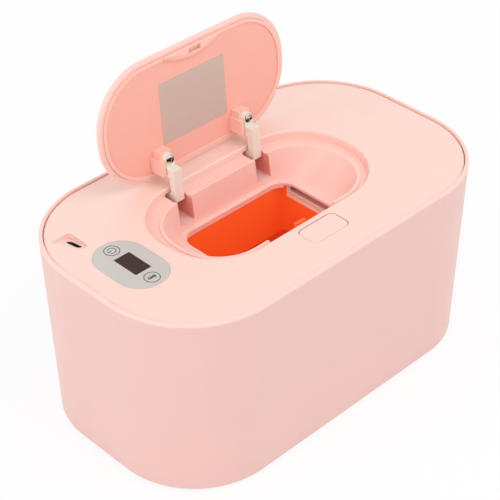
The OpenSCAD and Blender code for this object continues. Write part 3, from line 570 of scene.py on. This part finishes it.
class Sculptor:
    """Collects the geometry of one piece and turns it into an object."""

    def __init__(self, name: str) -> None:
        """Starts an empty mesh.

        Args:
            name: Name of the piece.
        """
        self.name = name
        self.mesh = bmesh.new()

    def slab(self, outline: Sequence[tuple[float, float]], low: float, high: float) -> None:
        """Adds a flat slab.

        Args:
            outline: Corner points in plan.
            low: Its lower face.
            high: Its upper face.
        """
        face = self.mesh.faces.new([self.mesh.verts.new((x, y, low)) for x, y in outline])
        raised = bmesh.ops.extrude_face_region(self.mesh, geom=[face])["geom"]
        verts = [item for item in raised if isinstance(item, bmesh.types.BMVert)]
        bmesh.ops.translate(self.mesh, vec=(0, 0, high - low), verts=verts)

    def spun(self, profile: Sequence[tuple[float, float]], centre: Vector, angle: float,
             start: float) -> None:
        """Spins a closed profile about a vertical axis.

        Args:
            profile: Points as radius and height.
            centre: A point on the axis.
            angle: How far it turns.
            start: Where it begins.
        """
        turn = Matrix.Rotation(start, 3, "Z")
        verts = [self.mesh.verts.new(centre + turn @ Vector((out, 0, up))) for out, up in profile]
        edges = [self.mesh.edges.new((verts[i], verts[(i + 1) % len(verts)])) for i in range(len(verts))]
        full = angle > math.tau - 1e-6
        if not full:
            self.mesh.faces.new(verts)
        swept = bmesh.ops.spin(self.mesh, geom=verts + edges, cent=centre, axis=(0, 0, 1), angle=angle,
                               steps=SPIN_STEPS, use_merge=full)
        if not full:
            ends = [item for item in swept["geom_last"] if isinstance(item, bmesh.types.BMVert)]
            self.mesh.faces.new(ends)

    def block(self, centre: Sequence[float], size: Sequence[float]) -> None:
        """Adds a box.

        Args:
            centre: Its middle.
            size: Its sides.
        """
        matrix = Matrix.Translation(centre) @ Matrix.Diagonal((*size, 1.0))
        bmesh.ops.create_cube(self.mesh, size=1.0, matrix=matrix)

    def drum(self, base: Sequence[float], radius: float, height: float, steps: int) -> None:
        """Adds an upright cylinder.

        Args:
            base: Middle of its lower face.
            radius: Its radius.
            height: Its height.
            steps: Number of sides.
        """
        centre = Vector(base) + Vector((0, 0, height / 2))
        bmesh.ops.create_cone(self.mesh, cap_ends=True, segments=steps, radius1=radius, radius2=radius,
                              depth=height, matrix=Matrix.Translation(centre))

    def turn(self, matrix: Matrix) -> None:
        """Transforms everything made so far."""
        bmesh.ops.transform(self.mesh, matrix=matrix, verts=self.mesh.verts)

    def soften(self, width: float) -> None:
        """Bevels every sharp edge.

        Args:
            width: Width of the bevel.
        """
        whole = [edge for edge in self.mesh.edges if edge.is_manifold]
        sharp = [edge for edge in whole if edge.calc_face_angle(0.0) > BEVEL_ANGLE]
        bmesh.ops.bevel(self.mesh, geom=sharp, offset=width, segments=2, profile=0.5, affect="EDGES",
                        material=-1)

    def finish(self, finish: Finish, body: str, slot: str) -> bpy.types.Object:
        """Writes the mesh to an object that rides on a body.

        Args:
            finish: Its finish.
            body: The CAD body that carries it.
            slot: The record's material slot it belongs to; not used.

        Returns:
            The object.
        """
        bmesh.ops.recalc_face_normals(self.mesh, faces=self.mesh.faces)
        data = bpy.data.meshes.new(self.name)
        self.mesh.to_mesh(data)
        self.mesh.free()
        made = bpy.data.objects.new(self.name, data)
        bpy.context.scene.collection.objects.link(made)
        data.materials.append(finish.material())
        data.shade_smooth()
        data.set_sharp_from_angle(angle=SHARP_ANGLE)
        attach(made, body)
        LOG.info("%s: %d faces on %s", self.name, len(data.polygons), body)
        return made


def rounded(centre: tuple[float, float], size: tuple[float, float], radius: float,
            steps: int) -> list[tuple[float, float]]:
    """Outline of a rectangle with round corners.

    Args:
        centre: Its middle.
        size: Its sides.
        radius: Its corner radius.
        steps: Segments of one corner.

    Returns:
        The corner points, counter-clockwise.
    """
    points = []
    for quarter, (right, back) in enumerate(((1, 1), (-1, 1), (-1, -1), (1, -1))):
        corner_x = centre[0] + right * (size[0] / 2 - radius)
        corner_y = centre[1] + back * (size[1] / 2 - radius)
        for step in range(steps + 1):
            angle = math.radians(90 * quarter + 90 * step / steps)
            points.append((corner_x + radius * math.cos(angle), corner_y + radius * math.sin(angle)))
    return points


def opened() -> Matrix:
    """The move that swings a piece drawn on the shut lid to the lid's open pose."""
    return Matrix.Translation(HINGE) @ Matrix.Rotation(-OPEN_ANGLE, 4, "X") @ Matrix.Translation(-HINGE)


# ------------------------------------------------------------------ sub-assemblies


@dataclass(frozen=True)
class CrossHead:
    """A screw head with a cross recess, drawn face up.

    Attributes:
        radius: Radius of the head.
        dome: Height of its dome.
        rim: Height of its straight edge.
        slot: Width of the recess's arms.
        reach: Length of the recess's arms from the middle.
        depth: Depth of the recess.
        cells: Grid cells along one side.
    """

    radius: float
    dome: float
    rim: float
    slot: float
    reach: float
    depth: float
    cells: int = 44

    def height(self, x: float, y: float) -> float:
        """Height of the head's face.

        Args:
            x: Distance from the middle.
            y: Distance from the middle.

        Returns:
            The height above the head's underside.
        """
        share = (x * x + y * y) / (self.radius * self.radius)
        face = self.rim + self.dome * math.sqrt(max(0.0, 1 - share))
        across, along = sorted((abs(x), abs(y)))
        cut = across < self.slot / 2 and along < self.reach
        return face - (self.depth if cut else 0.0)

    def add(self, to: Sculptor, matrix: Matrix) -> None:
        """Adds the head to a mesh.

        Args:
            to: The mesh.
            matrix: Places the head, whose underside is at zero and whose face looks up.
        """
        part = bmesh.new()
        grid = bmesh.ops.create_grid(part, x_segments=self.cells, y_segments=self.cells, size=1.0)
        for vert in grid["verts"]:
            right, back = vert.co.x, vert.co.y
            x = self.radius * right * math.sqrt(1 - back * back / 2)
            y = self.radius * back * math.sqrt(1 - right * right / 2)
            vert.co = (x, y, self.height(x, y))
        border = [edge for edge in part.edges if edge.is_boundary]
        skirt = bmesh.ops.extrude_edge_only(part, edges=border)["geom"]
        for item in skirt:
            if isinstance(item, bmesh.types.BMVert):
                item.co.z = 0.0
        bmesh.ops.holes_fill(part, edges=[edge for edge in part.edges if edge.is_boundary])
        bmesh.ops.transform(part, matrix=matrix, verts=part.verts)
        spare = bpy.data.meshes.new("spare")
        part.to_mesh(spare)
        part.free()
        to.mesh.from_mesh(spare)
        bpy.data.meshes.remove(spare)


@dataclass
class LidDetails:
    """The lid's chrome screws and its bare label plate.

    Attributes:
        screw_y: Place of the screws on the shut lid.
        screw_depth: Depth of the screws' seat below the cover's face.
        head: Shape of a screw head.
        turns: How far the recess of each head is turned.
        shank_radius: Radius of a shank.
        shank_length: Length of a shank.
        plate_size: Sides of the label plate.
        plate_middle: Middle of the plate on the shut lid.
        plate_corner: Corner radius of the plate.
        plate_thick: How far the plate stands out of the lid's inner face.
        plate_root: How far it reaches into that face.
    """

    screw_y: float = HINGE.y - 18.9 * MM
    screw_depth: float = 10.7 * MM
    head: CrossHead = CrossHead(radius=2.3 * MM, dome=0.95 * MM, rim=0.25 * MM, slot=0.62 * MM,
                                reach=1.35 * MM, depth=0.5 * MM)
    turns: tuple[float, float] = (0.35, 0.9)
    shank_radius: float = 0.85 * MM
    shank_length: float = 5.9 * MM
    plate_size: tuple[float, float] = (41.0 * MM, 31.8 * MM)
    plate_middle: tuple[float, float] = (FEATURE_X - 1.2 * MM, LID_Y - 0.15 * MM)
    plate_corner: float = 0.6 * MM
    plate_thick: float = 0.12 * MM
    plate_root: float = 0.02 * MM

    def build(self) -> None:
        """Builds both pieces."""
        self.screws()
        self.label()

    def screws(self) -> None:
        """Builds the two chrome screws, which stand for the plain CAD ones."""
        work = Sculptor("hinge_screw_heads")
        for turn, x in zip(self.turns, ARM_X):
            seat = (x, self.screw_y, TOP - self.screw_depth)
            flip = Matrix.Rotation(math.pi, 4, "X") @ Matrix.Rotation(turn, 4, "Z")
            self.head.add(work, Matrix.Translation(seat) @ flip)
            work.drum(seat, self.shank_radius, self.shank_length, 20)
        work.turn(opened())
        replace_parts(work.finish(CHROME, "lid", "hinge_screws"), "hinge_screws")

    def label(self) -> None:
        """Builds the bare plate where a real one carries its label."""
        work = Sculptor("label_plate")
        face = TOP - LINING_DEPTH
        outline = rounded(self.plate_middle, self.plate_size, self.plate_corner, 4)
        work.slab(outline, face - self.plate_thick, face + self.plate_root)
        work.turn(opened())
        work.finish(LABEL, "lid", "lid_inner")


@dataclass
class PanelInlays:
    """The control panel's rings and symbols, flush inlays over the touch keys.

    Attributes:
        centre: Middle of the display.
        up: The way the symbols' upper side looks.
        shift: How far the keys lie from the display's middle towards that side.
        pitch: How far they lie from it along the panel.
        ring: Radius of a key's ring.
        line: Width of a line.
        bold: Width of the power key's bar, in lines.
        thin: Width of the thermometer's tube and marks, in lines.
        lift: How far the inlays stand above the panel's face and reach below it.
        power_radius: Radius of the power key's arc.
        power_gap: Angle that this arc leaves open.
        power_bar: Where the power key's bar begins and ends.
        bulb_drop: How far the thermometer's bulb lies below the key's middle.
        bulb_radius: Radius of the bulb.
        bulb_gap: Angle that the bulb leaves open.
        bulb_dot: Radius of the bulb's filling.
        tube_start: Height over the bulb where the tube begins.
        tube_tip: Height over the key's middle where its round end begins.
        tube_half: Half its width.
        marks: Heights of the marks beside it.
        mark_side: Distance of the marks from the tube's middle.
        mark_length: Length of a mark.
    """

    centre: Vector = field(default_factory=lambda: middle("display_window"))
    up: Vector = field(default_factory=lambda: Vector((-1, 0, 0)))
    shift: float = 0.4 * MM
    pitch: float = 13.5 * MM
    ring: float = 3.6 * MM
    line: float = 0.36 * MM
    bold: float = 1.4
    thin: float = 0.9
    lift: float = 0.03 * MM
    power_radius: float = 1.9 * MM
    power_gap: float = math.radians(70)
    power_bar: tuple[float, float] = (0.3 * MM, 2.3 * MM)
    bulb_drop: float = 1.25 * MM
    bulb_radius: float = 0.78 * MM
    bulb_gap: float = math.radians(60)
    bulb_dot: float = 0.42 * MM
    tube_start: float = 0.66 * MM
    tube_tip: float = 1.7 * MM
    tube_half: float = 0.4 * MM
    marks: tuple[float, ...] = (0.2 * MM, 0.8 * MM, 1.4 * MM)
    mark_side: float = 0.85 * MM
    mark_length: float = 0.5 * MM

    def strip(self, work: Sculptor, start: Vector, end: Vector, width: float) -> None:
        """Adds a straight line with square ends.

        Args:
            work: The mesh.
            start: One end.
            end: The other end.
            width: Its width.
        """
        along = (end - start).normalized()
        side = Vector((-along.y, along.x, 0)) * width / 2
        corners = [start + side, start - side, end - side, end + side]
        work.slab([(corner.x, corner.y) for corner in corners], TOP - self.lift, TOP + self.lift)

    def arc(self, work: Sculptor, centre: Vector, radius: float, angle: float = math.tau,
            start: float = 0.0) -> None:
        """Adds a curved line.

        Args:
            work: The mesh.
            centre: Its middle.
            radius: Its radius.
            angle: Its sweep.
            start: Where it begins.
        """
        low, high, half = TOP - self.lift, TOP + self.lift, self.line / 2
        profile = [(radius - half, low), (radius + half, low), (radius + half, high), (radius - half, high)]
        work.spun(profile, Vector((centre.x, centre.y, 0)), angle, start)

    def key(self, side: int) -> Vector:
        """Finds the middle of a key.

        Args:
            side: 1 for the key towards +Y and -1 for the other.

        Returns:
            The middle.
        """
        return self.centre + Vector((0, side * self.pitch, 0)) + self.up * self.shift

    def build(self) -> None:
        """Builds both keys' inlays."""
        self.power_key()
        self.warmth_key()

    def power_key(self) -> None:
        """Builds the power key's inlay, a ring round an open arc with a bar."""
        spot = self.key(1)
        work = Sculptor("power_key_inlay")
        self.arc(work, spot, self.ring)
        self.arc(work, spot, self.power_radius, math.tau - self.power_gap, math.pi + self.power_gap / 2)
        low, high = self.power_bar
        self.strip(work, spot + self.up * low, spot + self.up * high, self.line * self.bold)
        work.finish(INK, "cover", "control_panel")

    def warmth_key(self) -> None:
        """Builds the temperature key's inlay, a ring round a thermometer with three marks."""
        spot = self.key(-1)
        bulb = spot - self.up * self.bulb_drop
        tip = spot + self.up * self.tube_tip
        work = Sculptor("warmth_key_inlay")
        self.arc(work, spot, self.ring)
        self.arc(work, bulb, self.bulb_radius, math.tau - self.bulb_gap, math.pi + self.bulb_gap / 2)
        work.drum((bulb.x, bulb.y, TOP - self.lift), self.bulb_dot, 2 * self.lift, 24)
        for side in (-1, 1):
            offset = Vector((0, side * self.tube_half, 0))
            self.strip(work, bulb + self.up * self.tube_start + offset, tip + offset, self.line * self.thin)
        self.arc(work, tip, self.tube_half, math.pi, math.pi / 2)
        self.strip(work, bulb, tip - self.up * self.tube_half, self.line)
        for height in self.marks:
            mark = spot + self.up * height + Vector((0, self.mark_side, 0))
            self.strip(work, mark, mark + Vector((0, self.mark_length, 0)), self.line * self.thin)
        work.finish(INK, "cover", "control_panel")


@dataclass
class PortDetails:
    """The charging port's bezel and its contacts.

    Attributes:
        slope: Slope of the ramp towards the end of the cover.
        side: Slope of the ramp towards the front.
        mouth: Outside size of the metal shell.
        sunk: Distance from the shell's middle up to the ramp.
        contacts: Number of contacts on each face of the tongue.
        contact_pitch: Distance from one contact to the next.
        contact_out: Distance of the contacts from the tongue's middle.
        contact_drop: Distance of their middle below the ramp.
        contact_size: Sides of a contact.
        inner_edge: How much wider than the shell the bezel's hole is, and how much rounder.
        outer_edge: The same for the bezel's outside.
        heights: Heights of the bezel's lower and upper face over the ramp.
        steps: Segments of one of its corners.
    """

    slope: float = math.radians(15.25)
    side: float = math.radians(-7.3)
    mouth: tuple[float, float] = (3.26 * MM, 8.94 * MM)
    sunk: float = 3.55 * MM
    contacts: int = 12
    contact_pitch: float = 0.5 * MM
    contact_out: float = 0.36 * MM
    contact_drop: float = 2.6 * MM
    contact_size: tuple[float, float, float] = (0.04 * MM, 0.26 * MM, 3.4 * MM)
    inner_edge: tuple[float, float] = (0.5 * MM, 0.2 * MM)
    outer_edge: tuple[float, float] = (2.3 * MM, 1.1 * MM)
    heights: tuple[float, float] = (-0.1 * MM, 0.14 * MM)
    steps: int = 12

    def tilt(self) -> Matrix:
        """The move from the port's own axes to the row frame."""
        turn = Matrix.Rotation(self.slope, 4, "Y") @ Matrix.Rotation(self.side, 4, "X")
        return Matrix.Translation(middle("port_shell")) @ turn @ Matrix.Translation((0, 0, self.sunk))

    def build(self) -> None:
        """Builds the contacts on the tongue and the bezel round the mouth."""
        work = Sculptor("port_contacts")
        for face in (-1, 1):
            for number in range(self.contacts):
                y = (number - (self.contacts - 1) / 2) * self.contact_pitch
                work.block((face * self.contact_out, y, -self.contact_drop), self.contact_size)
        work.turn(self.tilt())
        work.finish(GOLD, "cover", "port_shell")
        self.bezel()

    def bezel(self) -> None:
        """Builds the thin raised edge round the port's mouth."""
        work = Sculptor("port_bezel")
        wide, long = self.mouth
        low, high = self.heights
        inner, outer = (rounded((0, 0), (wide + more, long + more), wide / 2 + round_more, self.steps)
                        for more, round_more in (self.inner_edge, self.outer_edge))
        rings = []
        for outline, height in ((inner, low), (inner, high), (outer, high), (outer, low)):
            rings.append([work.mesh.verts.new((x, y, height)) for x, y in outline])
        count = len(inner)
        for ring, following in zip(rings, rings[1:] + rings[:1]):
            for i in range(count):
                after = (i + 1) % count
                work.mesh.faces.new((ring[i], ring[after], following[after], following[i]))
        work.turn(self.tilt())
        work.finish(PINK_LIT_FACE, "cover", "top_cover")


@dataclass
class BoardParts:
    """Small parts soldered to the control board's underside, with all sizes in millimetres.

    Attributes:
        chips: Place on the board and size of each chip.
        chip_height: Height of a chip.
        chip_drop: Distance of its middle below the board.
        legs: Number of legs on each of its two sides.
        leg_pitch: Distance from one leg to the next, as a share of the chip's length.
        leg_out: Distance of a leg's middle from the chip's side.
        leg_drop: Distance of that middle below the board.
        leg_size: Sides of a leg.
        cans: Place on the board and radius of each capacitor.
        can_height: Height of a capacitor.
        can_drop: Distance of its far end below the board.
        can_edge: Width of its bevelled edges.
    """

    chips: tuple[tuple[float, float, float, float], ...] = (
        (-1, -6, 7, 7), (9, 8, 5, 4), (-9, 7, 4, 6), (7, -12, 5, 3))
    chip_height: float = 1.3
    chip_drop: float = 0.7
    legs: int = 4
    leg_pitch: float = 0.2
    leg_out: float = 0.4
    leg_drop: float = 0.2
    leg_size: tuple[float, float, float] = (0.4, 0.9, 0.25)
    cans: tuple[tuple[float, float, float], ...] = ((-11, -10, 2.4), (-5, -15, 2.0))
    can_height: float = 4.3
    can_drop: float = 4.4
    can_edge: float = 0.2

    def build(self) -> None:
        """Builds the chips and the capacitors."""
        board = middle("control_board")
        board.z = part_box("control_board")[0][2]
        work = Sculptor("board_chips")
        for x, y, long, wide in self.chips:
            centre = board + Vector((x, y, -self.chip_drop)) * MM
            work.block(centre, (long * MM, wide * MM, self.chip_height * MM))
            for side in (-1, 1):
                for leg in range(self.legs):
                    shift = (leg - (self.legs - 1) / 2) * long * self.leg_pitch
                    foot = Vector((x + shift, y + side * (wide / 2 + self.leg_out), -self.leg_drop)) * MM
                    work.block(board + foot, [length * MM for length in self.leg_size])
        work.finish(BLACK, "cover", "control_board")
        work = Sculptor("board_capacitors")
        for x, y, radius in self.cans:
            base = board + Vector((x, y, -self.can_drop)) * MM
            work.drum(base, radius * MM, self.can_height * MM, 28)
        work.soften(self.can_edge * MM)
        work.finish(ALUMINIUM, "cover", "control_board")


@dataclass
class UndersideScrews:
    """Screw heads with cross recesses under the base and under the tray.

    Attributes:
        base_places: Places of the base screws in plan, in millimetres.
        base_seat: Height of their heads' seat.
        base_sizes: Radius of a head and length of a shank.
        tray_places: Places of the tray screws in plan, in millimetres.
        tray_seat: Height of their heads' seat.
        tray_sizes: Radius of a head and length of a shank.
        shank_radius: Radius of a shank.
        twist: How much further each head is turned than the one before it.
    """

    base_places: tuple[tuple[float, float], ...] = (
        (-86.295, -43.495), (-86.295, 43.495), (86.295, -43.495), (86.295, 43.495))
    base_seat: float = 2.4 * MM
    base_sizes: tuple[float, float] = (2.8 * MM, 5.8 * MM)
    tray_places: tuple[tuple[float, float], ...] = (
        (-58, 40), (4, 43.6), (58, 40), (-58, -40), (-26, -43.6), (58, -40))
    tray_seat: float = TOP - 27.8 * MM
    tray_sizes: tuple[float, float] = (2.7 * MM, 12.0 * MM)
    shank_radius: float = 1.2 * MM
    twist: float = 0.7

    def build(self) -> None:
        """Builds both sets, which stand for the plain CAD screws."""
        base = (self.base_places, self.base_seat, self.base_sizes)
        tray = (self.tray_places, self.tray_seat, self.tray_sizes)
        sets = (("base_screw_heads", "base_screws", "tub", *base),
                ("tray_screw_heads", "tray_screws", "cover", *tray))
        for name, node, body, places, seat, (radius, shank) in sets:
            head = CrossHead(radius, dome=0.5 * MM, rim=0.55 * MM, slot=0.7 * MM, reach=1.7 * MM,
                             depth=0.6 * MM, cells=30)
            work = Sculptor(name)
            for number, (x, y) in enumerate(places):
                turn = Matrix.Rotation(math.pi, 4, "X") @ Matrix.Rotation(self.twist * number, 4, "Z")
                head.add(work, Matrix.Translation((x * MM, y * MM, seat)) @ turn)
                work.drum((x * MM, y * MM, seat), self.shank_radius, shank, 20)
            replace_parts(work.finish(STEEL, body, node), node)


@dataclass
class Body:
    """The nodes that the frame carries.

    Attributes:
        finishes: Each finish and the nodes that wear it.
    """

    finishes: dict[Finish, tuple[str, ...]] = field(default_factory=lambda: dict(CAD_FINISHES))

    def dress(self) -> None:
        """Gives each node its finish."""
        for finish, names in self.finishes.items():
            for name in names:
                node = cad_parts[name]
                node.data.materials.clear()
                node.data.materials.append(finish.material())
                LOG.info("%s wears %s", name, finish.name)


# ------------------------------------------------------------------ setting


@dataclass(frozen=True)
class Lamp:
    """A square area lamp that points at the object.

    Attributes:
        name: Its name.
        place: Where it stands.
        size: Its side.
        power: Its power in watts.
    """

    name: str
    place: tuple[float, float, float]
    size: float
    power: float


@dataclass
class Studio:
    """Floor, lamps, world and camera.

    Attributes:
        eye: Where the camera stands.
        aim: What it looks at.
        lens: Its focal length in millimetres.
        sensor: Width of its sensor in millimetres.
        clip: Nearest and farthest distance that it sees.
        roll: Its turn about the line of sight.
        backdrop: Colour seen behind the object.
        ambient: Strength of the world's light on the object.
        sky: Colour of that light.
        glare: Colour of the lamps.
        lamps: The lamps.
        ground: Colour of the floor where it takes the shadow.
        whiteness: Share of plain white in the floor where it is seen.
        reach: Half the floor's side.
    """

    eye: Vector = field(default_factory=lambda: Vector((-0.4281, -0.4350, 0.5221)))
    aim: Vector = field(default_factory=lambda: Vector((-0.00663, 0.00058, 0.0683)))
    lens: float = 114.19
    sensor: float = 36.0
    clip: tuple[float, float] = (0.01, 50.0)
    roll: float = 0.01
    backdrop: Colour = (1.0, 1.0, 1.0)
    ambient: float = 0.78
    sky: Colour = (1.0, 0.985, 0.975)
    glare: Colour = (1.0, 0.985, 0.97)
    lamps: tuple[Lamp, ...] = (Lamp("key", (0.3, -0.9, 1.4), 1.0, 6.0),
                               Lamp("fill", (-1.25, 0.1, 0.75), 0.9, 4.2))
    ground: Colour = (0.98, 0.98, 0.98)
    whiteness: float = 0.86
    reach: float = 6.0

    def build(self) -> None:
        """Builds the whole setting."""
        self.world()
        self.floor()
        for lamp in self.lamps:
            self.light(lamp)
        self.camera()
        bpy.context.scene.view_settings.view_transform = "Standard"
        bpy.context.scene.view_settings.view_transform = "Standard"

    def rays(self, graph: Graph) -> Wire:
        """Finds where the world or the floor is seen directly, in a reflection or through glass.

        Args:
            graph: The graph to add to.

        Returns:
            1 for such a ray and 0 for another.
        """
        names = ("Is Camera Ray", "Is Glossy Ray", "Is Transmission Ray")
        camera, glossy, clear = (graph.add("ShaderNodeLightPath", out=name) for name in names)
        return camera + glossy + clear

    def world(self) -> None:
        """Builds a white world that lights the object evenly."""
        world = bpy.data.worlds.new("studio")
        bpy.context.scene.world = world
        graph = Graph(world)
        seen = self.rays(graph)
        light = graph.add("ShaderNodeBackground", {"Color": (*self.sky, 1.0), "Strength": self.ambient})
        back = graph.add("ShaderNodeBackground", {"Color": (*self.backdrop, 1.0), "Strength": 1.0})
        mixed = graph.add("ShaderNodeMixShader", {0: seen, 1: light, 2: back})
        graph.add("ShaderNodeOutputWorld", {"Surface": mixed})

    def floor(self) -> None:
        """Builds the pale floor that takes the shadow."""
        work = bmesh.new()
        bmesh.ops.create_grid(work, x_segments=1, y_segments=1, size=self.reach)
        data = bpy.data.meshes.new("floor")
        work.to_mesh(data)
        work.free()
        made = bpy.data.objects.new("floor", data)
        bpy.context.scene.collection.objects.link(made)
        data.materials.append(self.paper())

    def paper(self) -> bpy.types.Material:
        """Builds the floor's material, which looks white and still takes the shadow.

        Returns:
            The material.
        """
        made = bpy.data.materials.new("pale_floor")
        graph = Graph(made)
        plain = graph.add("ShaderNodeBsdfDiffuse", {"Color": (*self.ground, 1.0)})
        white = graph.add("ShaderNodeEmission", {"Color": (*self.backdrop, 1.0), "Strength": 1.0})
        mixed = graph.add("ShaderNodeMixShader", {0: self.rays(graph) * self.whiteness, 1: plain, 2: white})
        graph.add("ShaderNodeOutputMaterial", {"Surface": mixed})
        return made

    def light(self, lamp: Lamp) -> None:
        """Adds a lamp.

        Args:
            lamp: The lamp.
        """
        data = bpy.data.lights.new(lamp.name, "AREA")
        data.energy, data.size, data.color = lamp.power, lamp.size, self.glare
        made = bpy.data.objects.new(lamp.name, data)
        made.location = lamp.place
        made.rotation_mode = "QUATERNION"
        made.rotation_quaternion = (self.aim - Vector(lamp.place)).to_track_quat("-Z", "Y")
        bpy.context.scene.collection.objects.link(made)

    def camera(self) -> None:
        """Sets the photograph's view."""
        data = bpy.data.cameras.new("view")
        data.lens, data.sensor_width = self.lens, self.sensor
        data.clip_start, data.clip_end = self.clip
        made = bpy.data.objects.new("view", data)
        made.location = self.eye
        made.rotation_mode = "QUATERNION"
        look = (self.aim - self.eye).to_track_quat("-Z", "Y")
        made.rotation_quaternion = look @ Matrix.Rotation(-self.roll, 3, "Z").to_quaternion()
        bpy.context.scene.collection.objects.link(made)
        bpy.context.scene.camera = made


def main() -> None:
    """Builds every sub-assembly in order."""
    logging.basicConfig(level=logging.INFO, format="%(name)s: %(message)s")
    Body().dress()
    for part in (LidDetails(), PanelInlays(), PortDetails(), BoardParts(), UndersideScrews(), Studio()):
        part.build()
        LOG.info("%s built", type(part).__name__)


if __name__ == "__main__":
    main()
